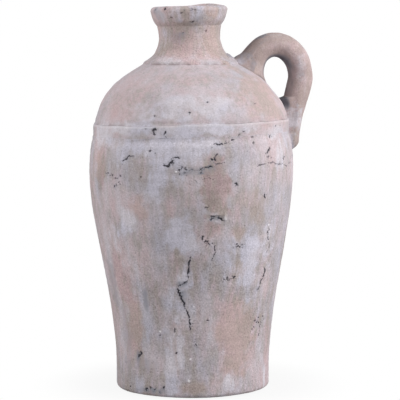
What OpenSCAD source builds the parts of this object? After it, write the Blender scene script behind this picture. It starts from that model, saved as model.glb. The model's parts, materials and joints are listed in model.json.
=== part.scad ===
// Terracotta jug vase with one handle.
// The jug is thrown in sections: a floor slab, two wall sections, a shoulder band, a dome,
// a neck and a rim. Each section drops a tongue into a rebate in the one below it.
// A pulled roll of clay makes the handle, with both ends shaped to the wall that they sit on.
// Millimetres, +Z up, origin at the middle of the underside, handle along +X.

/* [Section heights] */
// Thickness of the floor slab
slab_t = 12; // [9:0.5:16]
// Height of the lower wall section
lower_h = 136; // [122:1:150]
// Height of the belly wall section
belly_h = 120.5; // [114:0.5:130]
// Height of the flat band round the shoulder
band_h = 12.5; // [9:0.5:18]
// Height of the dome over the shoulder
dome_h = 59.5; // [54:0.5:68]
// Height of the neck, from its seat on the dome to the rim
neck_h = 39; // [36:1:48]
// Height of the rim
rim_h = 20.5; // [17:0.5:26]

/* [Outside diameters] */
// Diameter of the foot
foot_d = 161; // [150:1:176]
// Largest diameter, at the belly
belly_d = 214; // [211:1:226]
// Diameter at the top of the belly section
belly_top_d = 208.5; // [203:0.5:210.5]
// Difference between the diameters at the bottom and the top of the shoulder band
band_taper = 0.5; // [0:0.25:4]
// Diameter of the neck's foot
neck_foot_d = 97.5; // [92:0.5:104]
// Diameter of the neck at its waist
neck_d = 64; // [58:0.5:66]
// Diameter at the top of the neck
neck_top_d = 67; // [66:0.5:71]
// Largest diameter of the rim
rim_d = 80.5; // [77:0.5:88]

/* [Outline] */
// Height of the upright part of the lower wall, above the floor slab
foot_rise = 4; // [1:0.5:24]
// Fullness of the flank next to the foot, as a share of its height
flank_low = 0.36; // [0.2:0.01:0.42]
// Fullness of the flank next to the widest point, as a share of its height
flank_high = 0.27; // [0.15:0.01:0.35]
// Height of the widest point above the lower section's top
belly_rise = 83; // [70:1:95]
// Rounding of the foot's lower edge
foot_round = 5.5; // [2:0.5:7]
// Height of the neck's waist above its seat
waist_rise = 26; // [22:1:30]
// Height of the upright edge of the neck's foot
neck_edge = 1.5; // [1:0.5:4]
// Rounding of the top of the rim
rim_round = 4.5; // [3:0.5:6]

/* [Walls and joints] */
// Thickness of the wall
wall = 8; // [6:0.5:9]
// Depth of the tongue at each joint
lap = 5; // [3:0.5:6.5]
// Width of the step that shows at each shoulder joint
ledge = 1.75; // [0.5:0.25:2.5]
// Overhang of the rim over the neck
rim_ledge = 0.8; // [0.2:0.1:1.5]
// Diameter of the bore through the neck
bore_d = 48; // [42:0.5:50]
// Diameter of the mouth inside the rim
mouth_d = 59; // [54:0.5:62]
// Thickness of the neck's tongue, inside the dome
spigot_wall = 7; // [5:0.5:9]

/* [Handle] */
// Thickness of the handle at the grip, across the gap
grip_t = 26; // [21:0.5:28]
// Width of the handle at the grip
grip_w = 29; // [24:0.5:34]
// Distance of the handle's middle line beyond the shoulder band
handle_stand = 16.5; // [14:0.5:24]
// Height of the handle's middle line above the neck's seat
handle_rise = 19; // [15:0.5:26]
// Height of the handle's outermost point below the neck's seat
bend_drop = 15; // [10:0.5:18]
// Distance of the handle's root beyond the neck's foot
root_out = 9; // [7:0.5:13]
// Thickness of the handle at its root
root_t = 41; // [34:0.5:44]
// Height of the tail's end below the top of the shoulder band
tail_drop = 23; // [16:0.5:28]
// Thickness of the tail
tail_t = 14; // [12:0.5:19]
// Width of the tail
tail_w = 33; // [27:0.5:38]
// Distance of the tail's middle line outside the wall
tail_out = 4; // [1:0.5:5]
// Length of the rounded end of the tail
tail_round = 8; // [4:0.5:10]

/* [Hidden] */
$fn = 96;

// Radii, each section a ledge smaller than the one below it
foot_r = foot_d / 2;
belly_r = belly_d / 2;
belly_top_r = belly_top_d / 2;
band_r = belly_top_r - ledge;
band_top_r = band_r - band_taper / 2;
dome_r = band_top_r - ledge;
neck_foot_r = neck_foot_d / 2;
seat_r = neck_foot_r + ledge;
neck_r = neck_d / 2;
neck_top_r = neck_top_d / 2;
rim_r = rim_d / 2;
bore_r = bore_d / 2;
mouth_r = mouth_d / 2;
spigot_r = bore_r + spigot_wall;

// Heights of the joints, from the floor slab up
lower_z = slab_t;
belly_z = lower_z + lower_h;
band_z = belly_z + belly_h;
dome_z = band_z + band_h;
neck_z = dome_z + dome_h;
rim_z = neck_z + neck_h;
top_z = rim_z + rim_h;
foot_straight = lower_z + foot_rise;
widest_z = belly_z + belly_rise;
waist_z = neck_z + waist_rise;

// Points along each stretch of the outline
wall_steps = 14;
dome_steps = 22;
flare_steps = 12;
round_steps = 6;

terracotta = [0.72, 0.61, 0.57];
terracotta_pale = [0.76, 0.68, 0.66];

function lerp(a, b, u) = a + (b - a) * u;

// Share of the way from 0 to 1, eased at both ends
function eased(u) = let (v = max(0, min(1, u))) v * v * (3 - 2 * v);

// Point at t on a cubic Bezier curve
function bezier(c, t) = pow(1 - t, 3) * c[0] + 3 * t * pow(1 - t, 2) * c[1]
                      + 3 * t * t * (1 - t) * c[2] + pow(t, 3) * c[3];

// Place on a rising curve that lies at height z, found by halving
halvings = 30;
function place_at(c, z, low = 0, high = 1, n = halvings) =
    let (mid = (low + high) / 2)
    n == 0 ? mid
    : bezier(c, mid)[1] < z ? place_at(c, z, mid, high, n - 1)
    : place_at(c, z, low, mid, n - 1);

function radius_at(c, z) = bezier(c, place_at(c, z))[0];

// Points on a curve between two heights, moved in by a distance
function stretch(c, from_z, to_z, steps, inset = 0) =
    [for (i = [0:steps]) let (z = lerp(from_z, to_z, i / steps)) [radius_at(c, z) - inset, z]];

// Points along the whole of a curve
function whole(c, steps) = [for (i = [0:steps]) bezier(c, i / steps)];

// Points on an arc about a centre, from one angle to another
function arc(centre, r, from_a, to_a, steps) =
    [for (i = [0:steps]) let (a = lerp(from_a, to_a, i / steps)) centre + r * [cos(a), sin(a)]];

function reversed(points) = [for (i = [len(points) - 1:-1:0]) points[i]];

// Outer curve from the upright foot to the widest point
flank_rise = widest_z - foot_straight;
flank = [[foot_r, foot_straight],
         [foot_r, foot_straight + flank_rise * flank_low],
         [belly_r, widest_z - flank_rise * flank_high],
         [belly_r, widest_z]];

// Outer curve from the widest point to the top of the belly section
haunch_pull = 0.4;
haunch_rise = band_z - widest_z;
haunch = [[belly_r, widest_z],
          [belly_r, widest_z + haunch_rise * haunch_pull],
          [lerp(belly_top_r, belly_r, haunch_pull), band_z - haunch_rise * haunch_pull],
          [belly_top_r, band_z]];

// A dome's curve rises upright from its foot and leans over to its top.
// The pull, reach and drop are shares of its height, width and height.
dome_pull = 0.645;
dome_reach = 0.02;
dome_drop = 0.055;
function dome_curve(foot, top, pull, reach, drop) =
    let (rise = top[1] - foot[1])
    [foot,
     [foot[0], foot[1] + rise * pull],
     [lerp(top[0], foot[0], reach), top[1] - rise * drop],
     top];
dome = dome_curve([dome_r, dome_z], [seat_r, neck_z], dome_pull, dome_reach, dome_drop);

// Inner curve of the dome, from the band's rebate to the neck's tongue
vault_reach = 0.38;
vault_drop = 0.06;
vault_foot = [dome_r - wall, dome_z - lap];
vault_top = [spigot_r, neck_z - lap];
vault = dome_curve(vault_foot, vault_top, dome_pull, vault_reach, vault_drop);

// Outer curves of the neck, from its foot to the waist and on to the rim
flare_reach = 0.32;
flare_low = 0.43;
flare_high = 0.49;
flare_z = neck_z + neck_edge;
flare = [[neck_foot_r, flare_z],
         [lerp(neck_r, neck_foot_r, flare_reach), lerp(flare_z, waist_z, flare_low)],
         [neck_r, lerp(flare_z, waist_z, flare_high)],
         [neck_r, waist_z]];
throat_low = 0.4;
throat_high = 0.75;
throat_reach = 0.65;
throat = [[neck_r, waist_z],
          [neck_r, lerp(waist_z, rim_z, throat_low)],
          [lerp(neck_r, neck_top_r, throat_reach), lerp(waist_z, rim_z, throat_high)],
          [neck_top_r, rim_z]];

// Outer radius of the lower and belly walls
function wall_r(z) = z < foot_straight ? foot_r
                   : z < widest_z ? radius_at(flank, z)
                   : radius_at(haunch, z);

// Middle of the wall at each joint, where the tongue's step stands
function mid_wall(outer, inner) = (outer + inner) / 2;
slab_step = mid_wall(foot_r, foot_r - wall);
belly_step = mid_wall(wall_r(belly_z), wall_r(belly_z) - wall);
band_step = mid_wall(band_r, belly_top_r - wall);
dome_step = mid_wall(dome_r, dome_r - wall);
rim_step = mid_wall(neck_top_r, bore_r);

// Solid turned from an outline in the plane of radius and height
module turned(outline) {
    rotate_extrude() polygon(outline);
}

module base_slab() {
    groove_in = foot_r - wall;
    color(terracotta) turned(concat(
        [[0, 0]],
        arc([foot_r - foot_round, foot_round], foot_round, -90, 0, round_steps),
        [[foot_r, lower_z],
         [slab_step, lower_z],
         [slab_step, lower_z - lap],
         [groove_in, lower_z - lap],
         [groove_in, lower_z],
         [0, lower_z]]));
}

module lower_wall() {
    outer = concat([[foot_r, lower_z]], stretch(flank, foot_straight, belly_z, wall_steps));
    inner = concat([[foot_r - wall, lower_z - lap]],
                   stretch(flank, foot_straight, belly_z - lap, wall_steps, wall));
    color(terracotta) turned(concat(
        outer,
        [[belly_step, belly_z], [belly_step, belly_z - lap]],
        reversed(inner),
        [[slab_step, lower_z - lap], [slab_step, lower_z]]));
}

// Outer line of the belly section
belly_line = concat(stretch(flank, belly_z, widest_z, wall_steps),
                    stretch(haunch, widest_z, band_z, wall_steps));

module belly_wall() {
    inner = concat(stretch(flank, belly_z - lap, widest_z, wall_steps, wall),
                   stretch(haunch, widest_z, band_z - lap, wall_steps, wall));
    color(terracotta) turned(concat(
        belly_line,
        [[band_step, band_z], [band_step, band_z - lap]],
        reversed(inner),
        [[belly_step, belly_z - lap], [belly_step, belly_z]]));
}

module shoulder_band() {
    color(terracotta_pale) turned([
        [band_r, band_z],
        [band_top_r, dome_z],
        [dome_step, dome_z],
        [dome_step, dome_z - lap],
        vault_foot,
        [wall_r(band_z - lap) - wall, band_z - lap],
        [band_step, band_z - lap],
        [band_step, band_z]]);
}

module shoulder_dome() {
    color(terracotta_pale) turned(concat(
        whole(dome, dome_steps),
        [[spigot_r, neck_z]],
        reversed(whole(vault, dome_steps)),
        [[dome_step, dome_z - lap], [dome_step, dome_z]]));
}

// Outer line of the neck, from its seat to the rim
neck_line = concat([[neck_foot_r, neck_z]], whole(flare, flare_steps), whole(throat, flare_steps));

module neck() {
    color(terracotta) turned(concat(
        neck_line,
        [[rim_step, rim_z],
         [rim_step, rim_z - lap],
         [bore_r, rim_z - lap],
         [bore_r, neck_z - lap],
         [spigot_r, neck_z - lap],
         [spigot_r, neck_z]]));
}

module rim() {
    lip = min(rim_round, (rim_r - mouth_r) / 2);
    color(terracotta) turned(concat(
        [[neck_top_r + rim_ledge, rim_z]],
        arc([rim_r - lip, top_z - lip], lip, 0, 90, round_steps),
        arc([mouth_r + lip, top_z - lip], lip, 90, 180, round_steps),
        [[bore_r, rim_z - lap],
         [rim_step, rim_z - lap],
         [rim_step, rim_z]]));
}

// Outline of everything that the handle sits on, filled to the axis
module body_envelope() {
    turned(concat(
        [[0, belly_z]],
        belly_line,
        [[band_r, band_z], [band_top_r, dome_z]],
        whole(dome, dome_steps),
        neck_line,
        [[0, rim_z]]));
}

// Ends of the handle's middle line, its outermost point and the height of its top.
// The root begins inside the dome, at a share of the dome's height.
root_height = 0.38;
tail_z = dome_z - tail_drop;
bend_z = neck_z - bend_drop;
peak_z = neck_z + handle_rise;
root_z = lerp(dome_z, neck_z, root_height);
root = [neck_foot_r + root_out, root_z];
bend = [band_top_r + handle_stand, bend_z];
tail = [wall_r(tail_z) + tail_out, tail_z];

// Middle line over the bend: upright at both ends, with its top at the peak.
// Halfway along a cubic curve each of the two inner points weighs three eighths.
inner_weight = 3 / 8;
root_share = 0.65;
pull = (peak_z - (root_z + bend_z) / 2) / inner_weight;
over_bend = [root,
             root + [0, pull * root_share],
             bend + [0, pull * (1 - root_share)],
             bend];

// Middle line down the arm to the tail
arm_low = 0.15;
arm_high = 0.45;
arm_drop = bend_z - tail_z;
down_arm = [bend,
            bend - [0, arm_drop * arm_low],
            [tail[0], bend_z - arm_drop * arm_high],
            tail];

// Share of the bend over which the root thins, and share of the arm where the tail begins to
root_taper = 0.32;
tail_taper = 0.35;
bend_rings = 22;
arm_rings = 16;
cap_rings = 4;
ring_sides = 20;

// Place, thickness and width of the handle at each ring
bend_path = [for (i = [0:bend_rings]) let (u = i / bend_rings)
    [bezier(over_bend, u), lerp(root_t, grip_t, eased(u / root_taper)), grip_w]];
arm_path = [for (i = [1:arm_rings])
    let (u = i / arm_rings, v = eased((u - tail_taper) / (1 - tail_taper)))
    [bezier(down_arm, u), lerp(grip_t, tail_t, v), lerp(grip_w, tail_w, v)]];
cap_path = [for (i = [1:cap_rings]) let (a = 90 * i / (cap_rings + 1))
    [tail - [0, tail_round * sin(a)], tail_t * cos(a), tail_w * cos(a)]];
handle_path = concat(bend_path, arm_path, cap_path);

// Direction of the middle line at a ring, from its neighbours
function heading(path, i) =
    let (a = path[max(0, i - 1)][0], b = path[min(len(path) - 1, i + 1)][0])
    (b - a) / norm(b - a);

// Rings of points round the middle line
function ring_points(path) =
    [for (i = [0:len(path) - 1])
        let (p = path[i][0], d = heading(path, i), across = [d[1], -d[0]])
        for (k = [0:ring_sides - 1])
            let (a = 360 * k / ring_sides,
                 q = p + across * path[i][1] / 2 * cos(a))
            [q[0], path[i][2] / 2 * sin(a), q[1]]];

function tube_faces(rings, sides) = concat(
    [for (k = [1:sides - 2]) [0, k + 1, k]],
    [for (i = [0:rings - 2]) for (k = [0:sides - 1])
        let (a = i * sides + k, b = i * sides + (k + 1) % sides)
        each [[a, b, b + sides], [a, b + sides, a + sides]]],
    [for (k = [1:sides - 2]) let (s = (rings - 1) * sides) [s, s + k, s + k + 1]]);

module handle() {
    color(terracotta) difference() {
        polyhedron(ring_points(handle_path), tube_faces(len(handle_path), ring_sides));
        body_envelope();
    }
}

base_slab();
lower_wall();
belly_wall();
shoulder_band();
shoulder_dome();
neck();
rim();
handle();
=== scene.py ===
"""Terracotta jug: turned clay sections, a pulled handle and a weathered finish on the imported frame."""

import json
import math
import random
from typing import NamedTuple

import bmesh
import bpy
import numpy as np
from bpy.props import FloatProperty, FloatVectorProperty, IntProperty, PointerProperty
from mathutils import Matrix, Vector, kdtree, noise
from mathutils.geometry import interpolate_bezier


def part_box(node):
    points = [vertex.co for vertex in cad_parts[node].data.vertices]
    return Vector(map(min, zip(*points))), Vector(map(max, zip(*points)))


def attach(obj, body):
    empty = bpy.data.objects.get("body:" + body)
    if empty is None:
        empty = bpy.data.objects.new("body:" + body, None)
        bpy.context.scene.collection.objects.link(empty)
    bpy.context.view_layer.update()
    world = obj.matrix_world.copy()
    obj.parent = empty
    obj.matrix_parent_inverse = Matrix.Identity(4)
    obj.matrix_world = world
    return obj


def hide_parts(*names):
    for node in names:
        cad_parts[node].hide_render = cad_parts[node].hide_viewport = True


bl_info = {
    "name": "Terracotta Jug",
    "version": (1, 0, 0),
    "blender": (4, 5, 0),
    "location": "3D View > Sidebar > Jug",
    "description": "Builds a weathered one-handled terracotta jug round its CAD frame",
    "category": "Object",
}

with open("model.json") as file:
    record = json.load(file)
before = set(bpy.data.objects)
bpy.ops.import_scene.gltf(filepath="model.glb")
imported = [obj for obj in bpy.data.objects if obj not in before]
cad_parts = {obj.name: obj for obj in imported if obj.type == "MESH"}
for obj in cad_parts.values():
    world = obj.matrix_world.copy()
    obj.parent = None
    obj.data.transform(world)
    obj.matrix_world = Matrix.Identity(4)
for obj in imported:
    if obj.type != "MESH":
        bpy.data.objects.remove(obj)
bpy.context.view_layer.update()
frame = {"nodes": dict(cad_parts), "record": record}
MM = 0.001
HAIR = 0.05 * MM


# Sizes that the frame gives

def places(mesh):
    """Corners of a mesh as rows."""
    flat = np.empty(len(mesh.vertices) * 3)
    mesh.vertices.foreach_get("co", flat)
    return flat.reshape(-1, 3)


def rings(node):
    """Radius and height of every corner of a CAD node."""
    x, y, z = places(frame["nodes"][node].data).T
    return np.hypot(x, y), z


def radius_at(node, height):
    """Largest radius of a CAD node at one height."""
    radius, z = rings(node)
    return float(radius[abs(z - height) < HAIR].max())


def top_of(node):
    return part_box(node)[1].z


LOWER_Z = top_of("base_slab")
BELLY_Z = top_of("lower_wall")
BAND_Z = top_of("belly_wall")
DOME_Z = top_of("shoulder_band")
NECK_Z = top_of("shoulder_dome")
RIM_Z = top_of("neck")
TOP_Z = top_of("rim")
LAP = LOWER_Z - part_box("lower_wall")[0].z

FOOT_R = radius_at("base_slab", LOWER_Z)
BELLY_R = float(rings("belly_wall")[0].max())
BELLY_TOP_R = radius_at("belly_wall", BAND_Z)
BAND_R = radius_at("shoulder_band", BAND_Z)
BAND_TOP_R = radius_at("shoulder_band", DOME_Z)
DOME_R = radius_at("shoulder_dome", DOME_Z)
SEAT_R = radius_at("shoulder_dome", NECK_Z)
SPIGOT_R = float(rings("shoulder_dome")[0].min())
NECK_FOOT_R = radius_at("neck", NECK_Z)
NECK_TOP_R = radius_at("neck", RIM_Z)
BORE_R = float(rings("neck")[0].min())
RIM_FOOT_R = radius_at("rim", RIM_Z)
RIM_R = float(rings("rim")[0].max())
WALL = FOOT_R - float(rings("lower_wall")[0].min())
HANDLE_LOW, HANDLE_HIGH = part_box("handle")
SLAB_STEP = FOOT_R - WALL / 2
BAND_STEP = (BAND_R + BELLY_TOP_R - WALL) / 2
DOME_STEP = DOME_R - WALL / 2
RIM_STEP = (NECK_TOP_R + BORE_R) / 2


# Settings that a user would change

def length(name, description, value):
    return FloatProperty(name=name, description=description, default=value,
                         subtype="DISTANCE", unit="LENGTH")


def share(name, description, value):
    return FloatProperty(name=name, description=description, default=value, subtype="FACTOR", min=0, max=1)


def angle(name, description, degrees):
    return FloatProperty(name=name, description=description, default=math.radians(degrees),
                         subtype="ANGLE", unit="ROTATION")


def level(name, description, value):
    return FloatProperty(name=name, description=description, default=value, min=0)


def count(name, description, value, least):
    return IntProperty(name=name, description=description, default=value, min=least)


def colour(name, description, value):
    return FloatVectorProperty(name=name, description=description, default=value, subtype="COLOR",
                               size=3, min=0, max=1)


class JugShape(bpy.types.PropertyGroup):
    """Outline of the turned sections, where the frame doesn't give it"""
    foot_round: length("Foot rounding", "Rounding of the foot's lower edge", 4.2 * MM)
    foot_straight: length("Upright foot", "Height of the upright part of the foot", 16 * MM)
    widest_z: length("Widest height", "Height of the widest point of the belly", 231 * MM)
    flank_low: share("Lower flank", "Fullness of the flank next to the foot", 0.36)
    flank_high: share("Upper flank", "Fullness of the flank next to the widest point", 0.27)
    haunch_pull: share("Haunch", "Fullness of the wall above the widest point", 0.4)
    dome_pull: share("Dome pull", "How far the dome rises before it leans over", 0.645)
    dome_reach: share("Dome reach", "How far out the top of the dome stays full", 0.02)
    dome_drop: share("Dome drop", "How far the dome falls next to the neck", 0.055)
    vault_reach: share("Vault reach", "How far out the top of the dome's inside stays full", 0.38)
    vault_drop: share("Vault drop", "How far the dome's inside falls next to the neck", 0.06)
    neck_edge: length("Neck edge", "Height of the upright edge of the neck's foot", 1.6 * MM)
    neck_lip: length("Neck lip", "How far the smeared foot of the neck stands out over its seat", 1.7 * MM)
    neck_r: length("Neck radius", "Radius of the neck at its waist", 32 * MM)
    waist_z: length("Waist height", "Height of the neck's waist", 366.5 * MM)
    mouth_r: length("Mouth radius", "Radius of the mouth inside the lip", 29.5 * MM)
    rim_round: length("Lip rounding", "Rounding of the lip", 4.5 * MM)
    rim_bulge: length("Rim bulge", "Outward bulge of the rim's flank", 0.7 * MM)
    rim_under: length("Rim underside", "Height of the rounded lower edge of the rim", 4.6 * MM)
    ledge_round: length("Ledge rounding", "Rounding of the belly's ledge and of the neck's seat", 1.4 * MM)
    band_round: length("Band rounding", "Height of the rounded upper edge of the band", 3.2 * MM)
    seam_fill: length("Seam filling", "How far slip smears the neck's foot down over the dome", 0.8 * MM)
    cove: length("Cove", "Clay smeared into the corner at the foot of the dome", 1.1 * MM)


class JugHandle(bpy.types.PropertyGroup):
    """Pulled roll of the handle, where the frame doesn't give it"""
    grip_t: length("Grip thickness", "Thickness of the roll across the gap", 26 * MM)
    grip_w: length("Grip width", "Width of the roll at the grip", 29 * MM)
    root_t: length("Root thickness", "Thickness of the roll where it leaves the dome", 41 * MM)
    tail_t: length("Tail thickness", "Thickness of the roll at its tail", 14 * MM)
    tail_round: length("Tail rounding", "Length of the rounded end of the tail", 11 * MM)
    root_out: length("Root distance", "Distance of the root beyond the neck's foot", 9 * MM)
    root_height: share("Root height", "Height of the root's start inside the dome", 0.38)
    root_share: share("Root share", "Share of the bend's pull that the root takes", 0.65)
    bend_drop: length("Bend drop", "Height of the outermost point below the neck's seat", 15 * MM)
    arm_low: share("Upper arm", "Straightness of the arm next to the bend", 0.15)
    arm_high: share("Lower arm", "Straightness of the arm next to the tail", 0.45)
    tail_out: length("Tail distance", "Distance of the tail's middle line outside the wall", 4 * MM)
    tail_drop: length("Tail drop", "How far the smeared tip runs down below the CAD tail", 3.5 * MM)
    web_z: length("Web height", "Height of the clay web between the dome and the arm", 302.5 * MM)
    web_depth: length("Web depth", "Depth to which the web runs into the wall", 4.5 * MM)
    sink: length("Sink", "Depth to which the roll is pressed into the wall", 2.5 * MM)
    fillet: length("Fillet", "Width of the clay smeared round the root", 4.5 * MM)
    tail_fillet: length("Tail fillet", "Width of the clay smeared along the arm and the tail", 2 * MM)
    fillet_reach: length("Fillet reach", "Distance over which the smeared clay thins out", 12 * MM)
    lump: length("Lumps", "Depth of the lumps that pulling left", 0.6 * MM)
    streak: length("Pull streaks", "Depth of the streaks along the roll", 0.28 * MM)


class JugSurface(bpy.types.PropertyGroup):
    """Marks that hand building and age have left"""
    lump: length("Lumps", "Depth of the broad lumps in the wall", 0.55 * MM)
    dimple: length("Dimples", "Depth of the finger-sized dimples", 0.22 * MM)
    ripple: length("Throwing rings", "Depth of the rings left by throwing", 0.1 * MM)
    stroke: length("Brush strokes", "Depth of the upright brush strokes", 0.05 * MM)
    crack_depth: length("Crack depth", "Depth of a wide crack", 1.1 * MM)
    skin_pitch: length("Skin pitch", "Spacing of the mesh over the skin", 1.4 * MM)
    inner_pitch: length("Inner pitch", "Spacing of the mesh over the inside", 11.2 * MM)
    body_steps: count("Body steps", "Steps round the body", 448, 64)
    neck_steps: count("Neck steps", "Steps round the neck and rim", 256, 32)
    seed: count("Seed", "Start of the random draws for crumbs and for the far side", 11, 0)


class JugFinish(bpy.types.PropertyGroup):
    """Colours of the clay and of what lies on it"""
    clay_deep: colour("Deep clay", "Taupe of the bare clay in its darker clouds", (0.396, 0.343, 0.322))
    clay_warm: colour("Warm clay", "Pinkish tan of the bare clay", (0.5, 0.373, 0.384))
    clay_raw: colour("Raw clay", "Unwashed clay inside the jug", (0.30, 0.19, 0.15))
    wash_cool: colour("Cool wash", "Lavender grey of the lime wash", (0.48, 0.46, 0.528))
    wash_warm: colour("Warm wash", "Chalky part of the lime wash", (0.51, 0.475, 0.512))
    # This pale colour also paints the highlight on ledge edges and on the gouge's lip.
    chip_and_highlight: colour("Chip", "Pale clay of chips and rubbed edges", (0.8, 0.775, 0.8))
    ochre: colour("Ochre", "Pinkish tan where no wash is left", (0.465, 0.361, 0.338))
    # This slate grey also paints the shade inside the handle and along contact lines by the handle and the
    # foot.
    soot_and_shade: colour("Soot", "Slate-grey dirt", (0.24, 0.243, 0.275))
    # This brown also paints the shade in creases and where the handle meets the wall.
    grime: colour("Grime", "Brownish dirt in creases", (0.25, 0.202, 0.2))
    # This dark also paints black shade under the handle's arch and in the corner by the dome.
    crack: colour("Crack", "Slate-dark inside of cracks", (0.07, 0.064, 0.076))
    roughness: share("Roughness", "Roughness of the dry clay", 0.9)


class JugStage(bpy.types.PropertyGroup):
    """Camera, lamps and floor"""
    bearing: angle("Camera bearing", "Turn of the camera round the jug from straight in front", -15)
    distance: length("Camera distance", "Distance of the camera from the jug's axis", 1.84)
    height: length("Camera height", "Height of the camera", 0.374)
    pitch: angle("Camera pitch", "How far the camera looks down", 5.5)
    offset: length("Aim offset", "Distance of the aim to the right of the axis", 8.4 * MM)
    focal_px: level("Focal length", "Focal length in pixels of the picture", 1753)
    key: level("Key level", "Brightness that the key lamp gives a white card", 1.12)
    fill: level("Fill level", "Brightness that the fill lamp gives a white card", 0.68)
    top: level("Top level", "Brightness that the top lamp gives a white card", 0.04)
    sky: level("Sky level", "Brightness of the light from all round", 0.26)


PICTURE = 400
SENSOR = 36


# Shapes of curves and noise

def ease(values, low, high):
    """Share of the way from low to high, eased at both ends."""
    t = np.clip((values - low) / (high - low), 0.0, 1.0)
    return t * t * (3.0 - 2.0 * t)


def plateau(values, rise, fall):
    """One between two spans, eased up over the first and down over the second."""
    return ease(values, *rise) * (1 - ease(values, *fall))


def blend(a, b, u):
    return a + (b - a) * u


def walk(points):
    """Distance along a line to each of its points."""
    return np.concatenate([[0], np.cumsum(np.linalg.norm(np.diff(points, axis=0), axis=1))])


def spaced(points, pitch):
    """The same line with points about a pitch apart."""
    points = np.asarray(points, float)
    run = walk(points)
    stops = np.linspace(0, run[-1], max(2, round(run[-1] / pitch) + 1))
    return np.stack([np.interp(stops, run, column) for column in points.T], axis=1)


CURVE_POINTS = 400
BEZIER_HALF = 3 / 4


def curve(*corners):
    """Points on a cubic Bezier curve in the plane of radius and height."""
    drawn = interpolate_bezier(*[Vector((r, z, 0)) for r, z in corners], CURVE_POINTS)
    return np.array([(p.x, p.y) for p in drawn])


def between(points, low, high):
    """The part of a rising line between two heights."""
    heights = points[:, 1]
    inner = points[(heights > low + HAIR) & (heights < high - HAIR)]
    ends = [(np.interp(z, heights, points[:, 0]), z) for z in (low, high)]
    return np.concatenate([ends[:1], inner, ends[1:]])


def arc(centre, radius, start, end, steps=9):
    """Points on an arc, with angles in degrees."""
    turns = np.radians(np.linspace(start, end, steps))
    return np.stack([centre[0] + radius * np.cos(turns), centre[1] + radius * np.sin(turns)], axis=1)


def corner(before, tip, after, steps=6):
    """Rounded corner that leaves one line at before and joins the next at after."""
    u = np.linspace(0, 1, steps)[:, None]
    before, tip, after = (np.array(p, float) for p in (before, tip, after))
    return (1 - u) ** 2 * before + 2 * u * (1 - u) * tip + u ** 2 * after


def noise_at(co, wave, seed, squeeze=1.0):
    """Smooth noise at points, about -1 to 1, with waves of the given length."""
    spots = co * np.array((1, 1, squeeze)) / wave + seed
    return np.array([noise.noise(p) for p in spots.tolist()])


class Layer(NamedTuple):
    """One noise of a sum: its strength, the length of its waves, its seed and its squeeze upwards"""
    strength: float
    wave: float
    seed: float
    squeeze: float = 1.0


def layered(co, *layers):
    """Sum of noises at points."""
    return sum(n.strength * noise_at(co, n.wave, n.seed, n.squeeze) for n in layers)


# Outer lines of the jug

# Shares of the way across and up at which the curves of the neck bend
FLARE_LOW = (0.48, 0.168)
FLARE_HIGH = (0.93, 0.467)
THROAT_LOW = (0.0, 0.4)
THROAT_HIGH = (0.65, 0.75)
# Degrees over which the lip and the foot are rounded
LIP_ARC = (0, 85)
FOOT_ARC = (-75, 0)


def part_way(low, high, shares):
    """Place at shares of the way across and up from one point to another."""
    return tuple(blend(a, b, u) for a, b, u in zip(low, high, shares))


def outer_lines(shape):
    """Outer line of each section, as rising points of radius and height."""
    rise = shape.widest_z - shape.foot_straight
    flank = curve((FOOT_R, shape.foot_straight),
                  (FOOT_R, shape.foot_straight + rise * shape.flank_low),
                  (BELLY_R, shape.widest_z - rise * shape.flank_high),
                  (BELLY_R, shape.widest_z))
    pull = shape.haunch_pull
    haunch_rise = BAND_Z - shape.widest_z
    haunch = curve((BELLY_R, shape.widest_z),
                   (BELLY_R, shape.widest_z + haunch_rise * pull),
                   (blend(BELLY_TOP_R, BELLY_R, pull), BAND_Z - haunch_rise * pull),
                   (BELLY_TOP_R, BAND_Z))
    foot = (NECK_FOOT_R, NECK_Z + shape.neck_edge)
    waist = (shape.neck_r, shape.waist_z)
    head = (NECK_TOP_R, RIM_Z)
    lip_r = NECK_FOOT_R + shape.neck_lip
    flare = curve((lip_r, foot[1]), part_way(foot, waist, FLARE_LOW),
                  part_way(foot, waist, FLARE_HIGH), waist)
    throat = curve(waist, part_way(waist, head, THROAT_LOW),
                   part_way(waist, head, THROAT_HIGH), head)
    rim_foot = np.array((RIM_FOOT_R, RIM_Z))
    lip_foot = np.array((RIM_R, TOP_Z - shape.rim_round))
    bulge = np.array((shape.rim_bulge / BEZIER_HALF, 0))
    rim_flank = curve(rim_foot, *(blend(rim_foot, lip_foot, i / 3) + bulge for i in (1, 2)), lip_foot)
    lip = arc((RIM_R - shape.rim_round, TOP_Z - shape.rim_round), shape.rim_round, *LIP_ARC)
    return {
        "foot": np.array([(FOOT_R, 0), (FOOT_R, LOWER_Z)]),
        "lower": np.concatenate([[(FOOT_R, LOWER_Z)], between(flank, shape.foot_straight, BELLY_Z)]),
        "belly": np.concatenate([between(flank, BELLY_Z, shape.widest_z), haunch[1:]]),
        "band": np.array([(BAND_R, BAND_Z), (BAND_TOP_R, DOME_Z)]),
        "dome": dome_curve((DOME_R, DOME_Z), (SEAT_R, NECK_Z),
                           shape.dome_pull, shape.dome_reach, shape.dome_drop),
        "neck": np.concatenate([[(lip_r, NECK_Z)], flare, throat[1:]]),
        "rim": np.concatenate([rim_flank, lip[1:]]),
    }


def dome_curve(foot, top, pull, reach, drop):
    """Line that rises upright from its foot and leans over to its top."""
    rise = top[1] - foot[1]
    return curve(foot, (foot[0], foot[1] + rise * pull),
                 (blend(top[0], foot[0], reach), top[1] - rise * drop), top)


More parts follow.
